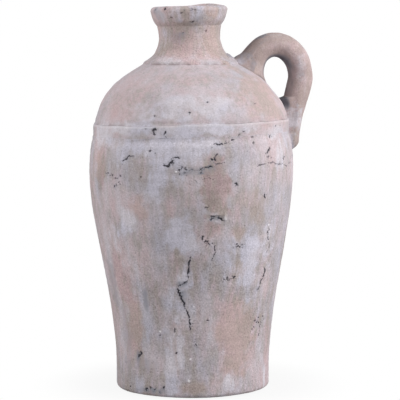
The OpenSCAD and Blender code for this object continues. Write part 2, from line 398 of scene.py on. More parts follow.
class Profile:
    """Radius of the whole outside by height, its steps smoothed over a soft reach."""

    RISE = 1e-9
    SAMPLES = 9

    def __init__(self, shape, soft=0.0):
        points = np.concatenate(list(outer_lines(shape).values()))
        self.heights = points[:, 1] + np.arange(len(points)) * self.RISE
        self.radii = points[:, 0]
        shifts = np.linspace(-soft, soft, self.SAMPLES)
        self.radii = np.mean([self.radius(self.heights + shift) for shift in shifts], axis=0)

    def radius(self, z):
        return np.interp(z, self.heights, self.radii)

    def gap(self, co):
        """Distance of points from the wall, positive outside."""
        z = co[:, 2]
        slope = (self.radius(z + MM) - self.radius(z - MM)) / (2 * MM)
        return (np.hypot(co[:, 0], co[:, 1]) - self.radius(z)) / np.sqrt(1 + slope ** 2)

    def place(self, bearing, z):
        """Point on the outside at a bearing and a height."""
        r = self.radius(z)
        return np.stack([r * np.cos(bearing), r * np.sin(bearing), z], axis=-1)


# What hand building did to the true shape

# A pair is the span over which something comes or goes, and one named TURN holds cosines of a turn
LEAN_BEARING = math.radians(-15)
LEAN_WAY = np.array((math.cos(LEAN_BEARING), math.sin(LEAN_BEARING), 0))
COLLAR_R = (50 * MM, 72 * MM)
FOOT_LEAN = 0.5 * MM
BELLY_LEAN = -0.8 * MM
BELLY_LEAN_Z = (0.07, 0.22)
NECK_LEAN = -2.2 * MM
NECK_LEAN_Z = (0.31, 0.40)
BAND_TILT = math.tan(math.radians(1.65))
BAND_TILT_Z = ((0.15, BAND_Z), (DOME_Z + 4 * MM, NECK_Z - 4 * MM))
BAND_WAVE_Z = ((BAND_Z - 16 * MM, BAND_Z), (DOME_Z, DOME_Z + 16 * MM))
RIM_TILT = math.tan(math.radians(1.5))
RIM_TILT_Z = (0.345, 0.385)
HUMP_RISE = 3.0 * MM
HUMP_BEARING = math.radians(40)
HUMP_SPREAD = math.radians(36)
HUMP_Z = (0.380, 0.398)
OVAL = 0.25 * MM
OVAL_TWIST = 14
OVAL_Z = (0.0, 0.1)
FOOT_WEAR = 1.1 * MM
FOOT_WEAR_BEARING = math.radians(-90)
FOOT_WEAR_TURN = (0.1, 0.9)
FOOT_WEAR_R = (FOOT_R - 9 * MM, FOOT_R - 3 * MM)
FOOT_WEAR_Z = (0, 9 * MM)
PRESS_DEPTH = 2.6 * MM
PRESS_BEARING = math.radians(-15)
PRESS_SPREAD = math.radians(30)
PRESS_Z = 0.309
PRESS_REACH = 10 * MM


class Wave(NamedTuple):
    """Rise and fall of the band round the jug"""
    count: int
    phase: float
    height: float


BAND_WAVES = (Wave(3, 0.6, 0.45 * MM), Wave(7, 2.0, 0.3 * MM), Wave(13, 4.1, 0.18 * MM))


class Swell(NamedTuple):
    """How far the wall stands out, and the heights over which that comes and goes"""
    out: float
    rise: tuple
    fall: tuple


SWELLS = {
    "foot": Swell(0.35 * MM, (-20 * MM, -10 * MM), (0.01, 0.05)),
    "belly": Swell(0.4 * MM, (0.12, 0.17), (0.245, BAND_Z)),
    "band": Swell(0.5 * MM, (BAND_Z - 4 * MM, BAND_Z), (DOME_Z - MM, DOME_Z + 2 * MM)),
    "dome": Swell(-1.2 * MM, (DOME_Z + 3 * MM, DOME_Z + 13 * MM), (NECK_Z + 4 * MM, NECK_Z + 18 * MM)),
}


def turned(bearing, centre):
    """Turn from one bearing to another, the short way round."""
    return (bearing - centre + math.pi) % (2 * math.pi) - math.pi


def about(away, spread):
    """Soft bump over distances from its middle."""
    return np.exp(-(away / spread) ** 2)


def lean_of(co):
    """Sideways drift of points from the true axis, and how far each belongs to the neck."""
    z = co[:, 2]
    collar = 1 - ease(np.hypot(co[:, 0], co[:, 1]), *COLLAR_R)
    drift = blend(FOOT_LEAN, BELLY_LEAN, ease(z, *BELLY_LEAN_Z)) + NECK_LEAN * ease(z, *NECK_LEAN_Z) * collar
    return np.outer(drift, LEAN_WAY), collar


def settle(co):
    """Moves points of the true shape to where hand building left them: leaning, tilted and uneven."""
    z = co[:, 2]
    turn = np.arctan2(co[:, 1], co[:, 0])
    radius = np.hypot(co[:, 0], co[:, 1])
    drift, collar = lean_of(co)
    tilt = BAND_TILT * plateau(z, *BAND_TILT_Z) + RIM_TILT * ease(z, *RIM_TILT_Z) * collar
    rise = tilt * np.clip(co @ LEAN_WAY, -BELLY_R, BELLY_R)
    waves = sum(w.height * np.sin(w.count * turn + w.phase) for w in BAND_WAVES)
    rise += waves * plateau(z, *BAND_WAVE_Z)
    rise += HUMP_RISE * about(turned(turn, HUMP_BEARING), HUMP_SPREAD) * ease(z, *HUMP_Z) * collar
    worn = ease(np.cos(turn - FOOT_WEAR_BEARING), *FOOT_WEAR_TURN) * ease(radius, *FOOT_WEAR_R)
    rise += FOOT_WEAR * worn * (1 - ease(z, *FOOT_WEAR_Z))
    full = sum(s.out * plateau(z, s.rise, s.fall) for s in SWELLS.values())
    full -= PRESS_DEPTH * about(turned(turn, PRESS_BEARING), PRESS_SPREAD) * about(z - PRESS_Z, PRESS_REACH)
    oval = OVAL / BELLY_R * np.cos(2 * turn + OVAL_TWIST * z) * ease(z, *OVAL_Z)
    swell = oval + full / np.maximum(radius, BORE_R)
    return co + drift + co * swell[:, None] * (1, 1, 0) + np.outer(rise, (0, 0, 1))


# Bearings at which the lower ledge shows, and how clearly, because slip hides it elsewhere
OPEN_LEDGE = {"left": (math.radians(166), 0.4), "back": (math.radians(75), 1.0)}
OPEN_TURN = (0.8, 0.96)


def smeared(bearing):
    """Share by which slip hides the lower ledge at a bearing."""
    shown = [clear * ease(np.cos(bearing - middle), *OPEN_TURN) for middle, clear in OPEN_LEDGE.values()]
    return 1 - np.max(shown, axis=0)


LUMPS = Layer(1, 62 * MM, 3.1)
DIMPLES = Layer(1, 21 * MM, 7.7)
SMALL_DIMPLES = (Layer(0.5, 7 * MM, 1.9), Layer(0.3, 2.8 * MM, 5.3))
BRUSHING = Layer(1, 4.5 * MM, 9.2, 0.09)
RING_PITCH = 8.5 * MM
RING_WANDER = 3
RING_LEVEL = 0.5


def relief(co, surface):
    """Height of hand marks over the skin: lumps, dimples, throwing rings and brush strokes."""
    turn = np.arctan2(co[:, 1], co[:, 0])
    lumps = layered(co, LUMPS)
    dimples = layered(co, DIMPLES)
    spiral = 2 * math.pi * co[:, 2] / RING_PITCH + turn + RING_WANDER * lumps
    return (surface.lump * lumps + surface.dimple * (dimples + layered(co, *SMALL_DIMPLES))
            + surface.ripple * np.sin(spiral) * (RING_LEVEL + dimples)
            + surface.stroke * layered(co, BRUSHING))


# Marks read from the photograph, in pixels of the picture

class Crack(NamedTuple):
    """Crack along photo pixels, with its width in millimetres and its darkness"""
    width: float
    dark: float
    pixels: tuple


class Dent(NamedTuple):
    """Hollow or, if its depth is less than nought, raised chip about a photo pixel, and how pale it is"""
    depth: float
    at: tuple
    half: tuple
    pale: float


class Crumbs(NamedTuple):
    """Cluster of small nicks about a photo pixel, with its half width and half height in pixels"""
    count: int
    at: tuple
    half: tuple


class Nick(NamedTuple):
    """Kind of small crack: its reach in pixels, and the spans of its width and its darkness"""
    reach: float
    widths: tuple
    darks: tuple


class Patch(NamedTuple):
    """Stain about a photo pixel, with half sizes in pixels; a strength below nought takes the coat off, and
    a few patches paint shade and highlights
    """
    coat: str
    at: tuple
    half: tuple
    strength: float


CRACKS = {
    "main_top": Crack(1.35, 0.85, ((190.5, 255), (189.5, 264), (188, 272), (188.5, 279))),
    "main_bend": Crack(1.1, 0.55, ((188.5, 279), (185, 283), (180, 286), (177.5, 288))),
    "main": Crack(2.0, 1.0, ((177.5, 287), (180, 294), (182.5, 300), (185, 308))),
    "main_end": Crack(1.4, 0.8, ((185, 307), (188, 315), (189.5, 323), (190, 331))),
    "below_main": Crack(0.9, 0.6, ((173.7, 328), (175.5, 332), (177.7, 336))),
    "chip_drip": Crack(1.0, 0.65, ((160.3, 334), (160.5, 338))),
    "low_hairline": Crack(0.8, 0.5, ((195.4, 338), (195.4, 349))),
    "right_long": Crack(1.05, 0.75, ((269.7, 226), (269.4, 230), (267.5, 232), (267.8, 238), (269, 241))),
    "right_tail": Crack(0.8, 0.5, ((269, 241), (269, 246), (267.5, 251), (265.2, 257))),
    "right_low": Crack(1.3, 0.75, ((264.7, 266), (264.7, 272), (260.7, 282), (257.1, 292))),
    "middle_top": Crack(1.1, 0.8, ((203.4, 236), (202.1, 240))),
    "middle": Crack(1.3, 0.8, ((206.6, 242), (211, 245.5))),
    "middle_low": Crack(1.0, 0.75, ((215.2, 244), (214.2, 248), (215.2, 252), (213.3, 256), (212, 261.5))),
    "left_high": Crack(1.05, 0.8, ((121.7, 161), (126, 159), (129, 156.3), (135, 156.3))),
    "thick_high": Crack(2.7, 1.0, ((162.8, 165.5), (168, 166), (170.5, 162.6), (173.8, 160.4))),
    "thick_end": Crack(1.0, 0.8, ((171.6, 158.2), (176, 157.8), (181, 158.2))),
    "long_left": Crack(0.8, 0.4, ((177, 171), (184, 170), (192, 170.5), (200, 170))),
    "long_high": Crack(1.05, 0.75, ((200, 170), (204, 167.4), (207.5, 168), (211.8, 167), (213.5, 165))),
    "long_right": Crack(0.8, 0.5, ((213.5, 165), (218, 164), (223, 162.5), (228, 162.8))),
    "fine_high": Crack(0.7, 0.6, ((194, 181), (206, 178.5), (216.7, 178.5))),
    "band_slant": Crack(1.0, 0.85, ((211.8, 144.6), (220, 144.6), (225, 144), (228, 142.5))),
    "band_faint": Crack(0.8, 0.65, ((228, 142.5), (235, 140))),
    "band_end": Crack(0.9, 0.6, ((238.4, 136.8), (242, 133.3), (246, 130.2))),
    "right_band": Crack(1.3, 0.8, ((271.8, 135.4), (270.4, 138.8))),
    "right_band_low": Crack(1.3, 0.85, ((270, 146.5), (268.2, 151.6), (265, 153.3))),
    "right_high": Crack(0.85, 0.65, ((255.6, 167.4), (259, 166), (264.4, 164.2), (268, 162.5),
                                    (272.8, 163.2), (280.5, 164.2), (282.6, 163.5), (288, 167))),
    "right_tick": Crack(1.1, 0.75, ((264.4, 192.6), (265, 198.6))),
    "small_tick": Crack(1.0, 0.7, ((203.7, 208.7), (205.3, 206.8), (207.5, 207.8), (208.5, 205))),
    "hook_top": Crack(0.7, 0.5, ((239, 175.4), (236.7, 179))),
    "hook": Crack(1.3, 0.85, ((234.6, 183.5), (238.4, 185.8))),
    "band_pit": Crack(2.5, 1.0, ((152.6, 130.6), (156.4, 129.8))),
    "band_smudge": Crack(2.0, 0.6, ((154, 131.5), (154.3, 136))),
    "band_slash": Crack(1.2, 0.9, ((166, 131), (163.5, 136))),
    "gouge_upper": Crack(1.1, 0.6, ((208.5, 216.4), (215.5, 217.3))),
    "gouge_lower": Crack(1.2, 0.7, ((208.2, 220.5), (215.5, 219))),
    "gouge_end": Crack(2.6, 0.8, ((217.5, 218.3), (221, 219), (223.6, 220.8))),
    "low_chip": Crack(3.0, 0.95, ((140, 350.8), (141.5, 354), (138.5, 357))),
    "right_streak": Crack(0.9, 0.5, ((260.3, 325.7), (259, 332), (258.5, 338))),
    "rim_pit": Crack(2.2, 0.95, ((164.6, 8.7), (165.8, 8.5))),
    "rim_chip": Crack(1.7, 0.6, ((155.3, 10.3), (156.4, 10.7))),
    "rim_nick": Crack(1.3, 0.55, ((184, 11), (184.6, 12))),
    "rim_fleck": Crack(1.1, 0.4, ((194.8, 9.6), (195.6, 10))),
    "rim_line": Crack(0.8, 0.35, ((167.9, 18), (176.2, 17.7))),
    "rim_line_right": Crack(1.0, 0.55, ((187.4, 21.6), (193, 22), (197.5, 21.6))),
    "seam_chip": Crack(1.5, 0.6, ((220, 63), (225, 63.5))),
}

DENTS = {
    "gouge": Dent(0.8, (216.5, 218.3), (8.5, 3.6), 0.0),
    # The paleness of the gouge's lip and ridge also paints their highlight.
    "gouge_lip_and_highlight": Dent(-1.1, (224.9, 217.5), (2.4, 5), 0.65),
    "gouge_ridge_and_highlight": Dent(-0.5, (215.5, 214.9), (6, 1.3), 0.4),
    "crack_chip": Dent(-0.5, (176.2, 172), (1.7, 1.2), 1.0),
    "right_chip": Dent(-0.5, (268.2, 225), (1.3, 1.8), 1.0),
    "low_chip": Dent(-0.5, (160.2, 331.5), (2.1, 1.7), 1.0),
    "middle_chip": Dent(-0.4, (193.8, 307), (1.2, 1.0), 0.8),
    "foot_chip": Dent(-0.5, (188.8, 381), (1.8, 2.3), 1.0),
    "foot_fleck": Dent(-0.4, (190.4, 359.2), (1.7, 1.4), 0.9),
    "root_swell": Dent(-2.3, (231.5, 57.5), (12, 4), 0.0),
    "band_fleck": Dent(-0.3, (174, 144), (2.0, 0.9), 0.6),
}

BOTH_WAYS = (-1, 1)
PIT = Nick(0.9, (0.91 * MM, 1.69 * MM), (0.4, 0.8))
CRUMB = Nick(2.0, (0.7 * MM, 1.4 * MM), (0.4, 0.95))

PITS = {
    "left_below_band": ((150.5, 150.5), (155, 153.4)),
    "left_band": ((145.5, 129.2),),
    "left_high": ((158.4, 168.8),),
    "right_high": ((229.3, 174), (251, 172)),
    "right_edge": ((283.3, 156.6), (291, 156.8), (282.6, 163.5)),
    "right_band": ((275.3, 126.3), (280.2, 126.3)),
    "low_right": ((254, 320.8), (259.4, 323), (263.4, 318.6), (251.8, 330)),
    "middle_right": ((227, 279.5), (231.3, 278.5), (225, 296.3)),
    "middle_low": ((206.3, 296.3), (208, 321)),
    "neck": ((183, 32.4), (205.8, 31.8)),
    "dome": ((207, 102), (255.5, 104), (190, 113), (154, 116), (98, 113)),
    "left_middle": ((140.4, 178),),
    "right_below_band": ((253, 137.5), (254, 142.8)),
    "right_middle": ((250.3, 235.2), (261, 234.5), (244.2, 244.4)),
    "foot": ((176.4, 354), (125.6, 361.8)),
}

CRUMBS = {
    "left_high": Crumbs(5, (109, 174), (3.5, 1.5)),
    "left_low": Crumbs(9, (117, 181), (4.5, 5)),
    "thick": Crumbs(6, (171.6, 164), (3, 2.5)),
    "smear": Crumbs(10, (190, 170.5), (14, 3)),
    "cluster": Crumbs(7, (214.5, 158), (2, 3)),
    "middle": Crumbs(8, (208.5, 244), (4.5, 3)),
    "right_wash": Crumbs(9, (239, 246), (6, 2)),
    "right_high": Crumbs(6, (269.5, 157), (3, 2)),
    "right_edge": Crumbs(6, (288, 160), (4, 4)),
    "main_right": Crumbs(8, (229.5, 279), (4.5, 1.8)),
    "low_right": Crumbs(11, (257, 323), (6, 7)),
    "foot_edge": Crumbs(12, (147, 389.5), (18, 3)),
    "rim": Crumbs(6, (176, 10), (16, 3)),
}

PATCHES = {
    "band_wash": Patch("wash", (174, 148), (42, 14), 1.0),
    "band_line_left": Patch("wash", (130, 129), (44, 7), 0.8),
    "band_line": Patch("wash", (200, 130), (56, 6), 1.0),
    # Soot in the notch by the handle, which also paints the contact shade there.
    "notch_soot_and_shade": Patch("soot_and_shade", (231.5, 56.5), (10, 3), 0.65),
    "dome_wash": Patch("wash", (186, 110), (56, 13), 0.6),
    "ledge_wash_left": Patch("wash", (104, 134), (20, 14), 0.7),
    "band_wash_right": Patch("wash", (276, 132), (18, 10), 0.4),
    "crack_wash": Patch("wash", (176, 160), (28, 15), 1.0),
    "high_wash": Patch("wash", (163, 180), (22, 20), 0.75),
    "left_high_wash": Patch("wash", (119, 152), (9, 12), 0.8),
    "right_high_wash": Patch("wash", (281, 152), (14, 18), 0.7),
    "dome_foot_wash": Patch("wash", (176, 117), (26, 7), 0.8),
    "left_wash": Patch("wash", (128, 222), (13, 16), 0.9),
    "left_low_wash": Patch("wash", (116, 240), (10, 13), 0.6),
    "gouge_wash": Patch("wash", (204, 247), (9, 10), 0.5),
    "main_low_wash": Patch("wash", (178, 305), (9, 28), 0.6),
    "low_right_wash": Patch("wash", (245, 305), (11, 10), 0.5),
    "middle_wash": Patch("wash", (181, 236), (17, 18), 1.0),
    "right_wash": Patch("wash", (246, 247), (20, 16), 0.95),
    "main_crack_wash": Patch("wash", (184, 282), (9, 18), 0.9),
    "right_low_wash": Patch("wash", (247, 268), (14, 22), 0.6),
    "right_edge_wash": Patch("wash", (268, 244), (13, 22), 0.7),
    "low_right_pale": Patch("wash", (233, 262), (12, 14), 0.55),
    "low_right_tan": Patch("ochre", (240, 270), (12, 12), 0.4),
    "foot_streak": Patch("wash", (174, 358), (10, 40), 0.9),
    "low_middle_wash": Patch("wash", (190, 318), (7, 24), 0.3),
    "foot_spot": Patch("wash", (229, 385), (5.5, 9), 1.2),
    "foot_left_wash": Patch("wash", (140, 384), (8, 10), 0.4),
    "foot_right_wash": Patch("wash", (264, 376), (7, 12), 0.6),
    "neck_wash": Patch("wash", (191, 36), (11, 14), 0.4),
    "left_brown": Patch("ochre", (100, 164), (11, 16), 0.75),
    "green_brown": Patch("ochre", (211, 168), (14, 13), 0.5),
    "dome_tan": Patch("ochre", (264, 97), (42, 30), 0.62),
    "right_brown": Patch("ochre", (256, 202), (20, 24), 0.5),
    "right_pale": Patch("wash", (257, 205), (20, 34), 0.2),
    "right_tan": Patch("ochre", (240, 233), (9, 8), 0.6),
    "left_tan": Patch("ochre", (138, 208), (12, 14), 0.7),
    "left_high_tan": Patch("ochre", (141, 174), (16, 18), 0.3),
    "middle_brown": Patch("ochre", (217, 200), (16, 22), 0.5),
    "low_left_brown": Patch("ochre", (136, 326), (13, 34), 0.7),
    "low_right_brown": Patch("ochre", (238, 335), (26, 40), 0.8),
    "foot_brown": Patch("ochre", (236, 361), (10, 14), 0.6),
    "foot_middle_brown": Patch("ochre", (195, 388), (18, 8), 0.6),
    "dome_left_tan": Patch("ochre", (130, 98), (34, 24), 0.32),
    "dome_top_tan": Patch("ochre", (190, 78), (60, 9), 0.25),
    "neck_right_tan": Patch("ochre", (212, 42), (12, 20), 0.9),
    "crack_soot": Patch("soot_and_shade", (194, 170.5), (25, 5.5), 0.5),
    "gouge_soot": Patch("soot_and_shade", (216, 219), (10, 5), 0.6),
    "left_edge_soot": Patch("soot_and_shade", (100, 190), (7, 40), 0.35),
    "left_low_soot": Patch("soot_and_shade", (113, 280), (12, 36), 0.55),
    "gouge_bare": Patch("wash", (213, 228), (12, 8), -0.6),
    "left_bare": Patch("wash", (101, 172), (7, 26), -0.6),
    "left_low_bare": Patch("wash", (123, 282), (15, 26), -0.7),
    "low_left_haze": Patch("soot_and_shade", (152, 365), (14, 10), 0.45),
    "rim_left_soot": Patch("soot_and_shade", (158, 15), (11, 10), 0.5),
    "rim_pale": Patch("wash", (184, 15), (28, 10), 0.5),
    "rim_tan": Patch("ochre", (212, 13), (12, 9), 0.9),
    "left_foot_soot": Patch("soot_and_shade", (126, 335), (13, 50), 0.45),
    "left_streak_soot": Patch("soot_and_shade", (146, 303), (4, 14), 0.65),
    "right_foot_soot": Patch("soot_and_shade", (264, 350), (5, 40), 0.35),
    "chip_soot": Patch("soot_and_shade", (138, 360), (4, 12), 0.5),
    # Painted shadow along the foot's bottom edge.
    "foot_edge_shadow": Patch("soot_and_shade", (150, 391), (24, 4), 0.45),
    "main_soot": Patch("soot_and_shade", (182, 285), (8, 7), 0.45),
    "main_haze": Patch("soot_and_shade", (185, 293), (5, 8), 0.5),
    "middle_bare": Patch("wash", (215, 186), (13, 30), -1.2),
    "middle_dust": Patch("soot_and_shade", (210, 168), (8, 8), 0.4),
    # Dirt along the dome's edge inside the handle, which also paints the contact shade there.
    "dome_edge_soot_and_shade": Patch("soot_and_shade", (275, 92), (24, 9), 0.65),
    "neck_soot": Patch("soot_and_shade", (187, 27), (14, 5), 0.3),
    "neck_shade": Patch("wash", (182, 44), (12, 12), -0.6),
    "neck_left_wash": Patch("wash", (165, 40), (11, 14), 0.3),
    "neck_dust": Patch("soot_and_shade", (178, 38), (12, 9), 0.4),
    "rim_soot": Patch("soot_and_shade", (178, 21), (9, 3), 0.35),
    "rim_soot_right": Patch("soot_and_shade", (201, 18), (7, 4), 0.5),
}

HANDLE_PATCHES = {
    "root_crease": Patch("soot_and_shade", (252.7, 64.5), (5, 8), 0.6),
    # Painted shade where the arm meets the dome.
    "arm_corner_shade": Patch("soot_and_shade", (285, 102), (6, 6), 1.0),
    "root_edge": Patch("soot_and_shade", (247.5, 42), (3.5, 8), 0.75),
    "top_edge": Patch("soot_and_shade", (259, 36), (10, 4.5), 1.1),
    # Soot in the notch by the neck's foot, which also paints the shade there.
    "root_notch_soot_and_shade": Patch("soot_and_shade", (234, 56), (6, 3), 0.9),
    # Wash on the arm, which also paints its highlight.
    "arm_wash_and_highlight": Patch("wash", (300, 66), (6, 16), 0.6),
    "tail_wash": Patch("wash", (294, 120), (9, 18), 0.85),
    "root_wash": Patch("wash", (244, 59), (9, 10), 0.45),
}

# The soot coat also carries painted shade inside the handle and along contact lines.
COATS = ("wash", "ochre", "soot_and_shade")
BARE_NECK = 0.5
BARE_NECK_Z = (NECK_Z - 2 * MM, NECK_Z + 12 * MM)
RIM_COVER = 0.3
RIM_COVER_Z = (RIM_Z, RIM_Z + 6 * MM)

# Spans of the random draws for the side that the photograph doesn't show
FAR_BEARING = (-1.45, 1.45)
FAR_CRACKS = 15
FAR_CRACK_Z = (0.04, 0.30)
FAR_CRACK_ENDS = (0.02, 0.33)
FAR_CRACK_STEPS = (2, 6)
FAR_CRACK_FLAT = (-0.5, 0.5)
FAR_CRACK_STEEP = (1.1, 2.0)
FAR_CRACK_BEND = (-0.7, 0.7)
FAR_CRACK_STRIDE = (5 * MM, 11 * MM)
FAR_CRACK_WIDTH = (0.7 * MM, 1.4 * MM)
FAR_DARK = (0.5, 0.95)
FAR_PITS = 40
FAR_PIT_Z = (0.03, 0.395)
FAR_PIT_WIDTH = (0.7 * MM, 1.5 * MM)
FAR_COATS = {"wash": (18, 1.0), "ochre": (14, 0.9), "soot_and_shade": (8, 0.5)}
FAR_COAT_Z = (0.0, 0.37)
FAR_COAT_W = (8 * MM, 26 * MM)
FAR_COAT_H = (8 * MM, 24 * MM)
FAR_COAT_SHARE = (0.5, 1.0)


class PhotoView:
    """Turns photo pixels into points on the jug's true shape."""

    DEPTHS = np.linspace(-0.16, 0.02, 1200)
    ROUNDS = 3

    def __init__(self, scene):
        stage = scene.jug_stage
        self.profile = Profile(scene.jug_shape)
        right = np.array((math.cos(stage.bearing), math.sin(stage.bearing), 0))
        ahead = np.array((-math.sin(stage.bearing), math.cos(stage.bearing), 0))
        self.eye = -ahead * stage.distance + np.array((0, 0, stage.height))
        aim_z = stage.height - stage.distance * math.tan(stage.pitch)
        aim = right * stage.offset + np.array((0, 0, aim_z))
        self.forward = (aim - self.eye) / np.linalg.norm(aim - self.eye)
        self.side = np.cross(self.forward, (0, 0, 1))
        self.side /= np.linalg.norm(self.side)
        self.up = np.cross(self.side, self.forward)
        self.focal = stage.focal_px
        self.metres_per_px = stage.distance / stage.focal_px

    def pixels(self, co):
        """Pixels of the picture at which points show."""
        ahead = co - self.eye
        across = np.stack([ahead @ self.side, -(ahead @ self.up)], axis=1)
        return PICTURE / 2 + across * self.focal / (ahead @ self.forward)[:, None]

    def hit(self, pixel):
        """Point of the true shape that shows at a pixel, or the nearest one beside it."""
        ray = (self.forward + self.side * (pixel[0] - PICTURE / 2) / self.focal
               + self.up * (PICTURE / 2 - pixel[1]) / self.focal)
        ray /= np.linalg.norm(ray)
        steps = self.DEPTHS - self.eye @ ray
        shift = np.zeros(3)
        for _ in range(self.ROUNDS):
            path = self.eye - shift + ray * steps[:, None]
            gaps = self.profile.gap(path)
            inside = np.nonzero(gaps < 0)[0]
            place = path[inside[0]] if len(inside) else path[gaps.argmin()]
            shift = settle(place[None])[0] - place
        return self.profile.place(math.atan2(place[1], place[0]), place[2])


class Marks:
    """Cracks and pits as points along the skin, and dents and stains as soft patches."""

    STEP = 0.4 * MM
    TINY = 1e-12
    TAPER = 5 * MM
    TAPER_SHARE = 0.3
    HALF_WIDTH = 0.58
    WIDE = 1.6 * MM
    PIT_DEPTH = 0.6
    CRUMB_PITCH = 2.2 * MM
    CRUMB_AWAY = (0.6 * MM, 3.0 * MM)
    CRUMB_WIDTH = (0.6 * MM, 1.2 * MM)
    CRUMB_DARK = (0.3, 0.8)
    WANDER = (Layer(1.1 * MM, 4.5 * MM, 2.2), Layer(0.95 * MM, 1.9 * MM, 8.1),
              Layer(0.4 * MM, 0.9 * MM, 3.3))
    BREAKS = (Layer(1, 2.6 * MM, 6.4), Layer(1, 1.2 * MM, 4.4))
    BREAKING = 1.4
    UNBROKEN_DARK = 1.4
    EVEN = 0.95
    UNEVEN = (0.2, 1.8)
    GAPS = Layer(1, 3.2 * MM, 3.7)
    GAP_EASE = (-0.45, -0.1)
    GAP_LEVEL = 0.1
    DARKEN = 1.1
    # Spans from the middle of a crack, counted in its half widths
    FLOOR_OF_CRACK = (0.25, 1.35)
    DARK_OF_CRACK = (0.2, 1.8)
    STAIN_WIDTH = 0.5 * MM
    STAIN_REACH = 3.2 * MM
    DENT_ROOM = np.arange(-1.2, 1.3, 0.4)
    DENT_RAGGED = Layer(0.3, 2.4 * MM, 5.5)
    DENT_FADE = (0.3, 1.1)
    COAT_RAGGED = (Layer(0.55, 16 * MM, 12.5), Layer(0.35, 6 * MM, 2.5))
    HANDLE_RAGGED = (Layer(0.5, 9 * MM, 12.5), Layer(0.35, 4 * MM, 2.5), Layer(0.3, 2 * MM, 7.5))
    COAT_FADE = (0.35, 1.25)

    def __init__(self, scene):
        self.view = PhotoView(scene)
        self.profile = self.view.profile
        self.full_depth = scene.jug_surface.crack_depth
        self.dice = random.Random(scene.jug_surface.seed)
        self.points, self.half, self.depth, self.dark = [], [], [], []
        for crack in CRACKS.values():
            self.add_crack(self.seen_at(crack.pixels), crack.width * MM, crack.dark)
        for pixels in PITS.values():
            for pixel in pixels:
                self.add_nick(pixel, PIT)
        for cluster in CRUMBS.values():
            for _ in range(cluster.count):
                pixel = [c + h * self.draw(BOTH_WAYS) for c, h in zip(cluster.at, cluster.half)]
                self.add_nick(pixel, CRUMB)
        per_px = self.view.metres_per_px
        self.hollows = [(self.view.hit(d.at), np.array(d.half) * per_px, d.depth * MM, d.pale)
                        for d in DENTS.values()]
        for centre, half, _, _ in self.hollows:
            self.mark_out(centre, half)
        self.patches = [(COATS.index(p.coat), self.view.hit(p.at), np.array(p.half) * per_px, p.strength)
                        for p in PATCHES.values()]
        self.scatter()
        self.tree = kdtree.KDTree(len(self.points))
        for i, p in enumerate(self.points):
            self.tree.insert(p, i)
        self.tree.balance()
        self.half, self.depth, self.dark = (np.array(v) for v in (self.half, self.depth, self.dark))

    def draw(self, span):
        return self.dice.uniform(*span)

    def seen_at(self, pixels):
        return np.array([self.view.hit(p) for p in pixels])

    def on_wall(self, co):
        """The points of the wall at the bearings and heights of points beside it."""
        return self.profile.place(np.arctan2(co[..., 1], co[..., 0]), co[..., 2])

    def add_crack(self, line, width, dark):
        """Follows a line with wanderings and breaks, thin at both ends, and drops crumbs beside it."""
        line = spaced(line, self.STEP)
        run = np.arange(len(line)) * self.STEP
        end = run[-1] + self.STEP
        side = np.cross(np.gradient(line, axis=0), line * (1, 1, 0))
        side /= np.linalg.norm(side, axis=1)[:, None] + self.TINY
        from_end = np.minimum(run + self.STEP, end - run)
        taper = np.minimum(1, from_end / min(self.TAPER, self.TAPER_SHARE * end)) ** 0.5
        broken = (self.UNBROKEN_DARK - dark) * layered(line, *self.BREAKS)
        uneven = np.clip(self.EVEN + self.BREAKING * broken, *self.UNEVEN)
        in_gap = min(1, self.GAP_LEVEL + dark)
        whole = blend(in_gap, 1, ease(layered(line, self.GAPS), *self.GAP_EASE))
        half = self.HALF_WIDTH * width * taper * uneven * whole
        trail = self.on_wall(line + side * layered(line, *self.WANDER)[:, None])
        self.points.extend(trail.tolist())
        self.half.extend(half)
        self.depth.extend(self.full_depth * np.minimum(1, 2 * half / self.WIDE))
        fading = np.clip((1 + uneven) / 2, 0, 1) * taper ** 0.5 * whole
        self.dark.extend(min(1, self.DARKEN * dark) * fading)
        for _ in range(round(end / self.CRUMB_PITCH)):
            i = self.dice.randrange(len(trail))
            beside = trail[i] + side[i] * self.dice.choice(BOTH_WAYS) * self.draw(self.CRUMB_AWAY)
            crumb = self.on_wall(beside)
            self.add_pit(crumb, self.draw(self.CRUMB_WIDTH), dark * self.draw(self.CRUMB_DARK))

    def add_nick(self, pixel, nick):
        """Short crack from a photo pixel to a place within reach of it."""
        width, dark = self.draw(nick.widths), self.draw(nick.darks)
        end = [c + nick.reach * self.draw(BOTH_WAYS) for c in pixel]
        self.add_crack(self.seen_at((pixel, end)), width, dark)

    def add_pit(self, place, width, dark):
        depth = self.full_depth * self.PIT_DEPTH * min(1, width / self.WIDE)
        self.add_point(place, width / 2, depth, dark)

    def add_point(self, place, half, depth, dark):
        self.points.append(tuple(place))
        self.half.append(half)
        self.depth.append(depth)
        self.dark.append(dark)

    def mark_out(self, centre, half):
        """Marks the room of a dent without any depth, so that the mesh is fine there too."""
        turn = math.atan2(centre[1], centre[0])
        radius = math.hypot(centre[0], centre[1])
        for across in self.DENT_ROOM:
            for up in self.DENT_ROOM:
                place = self.profile.place(turn + across * half[0] / radius, centre[2] + up * half[1])
                self.add_point(place, HAIR, 0, 0)

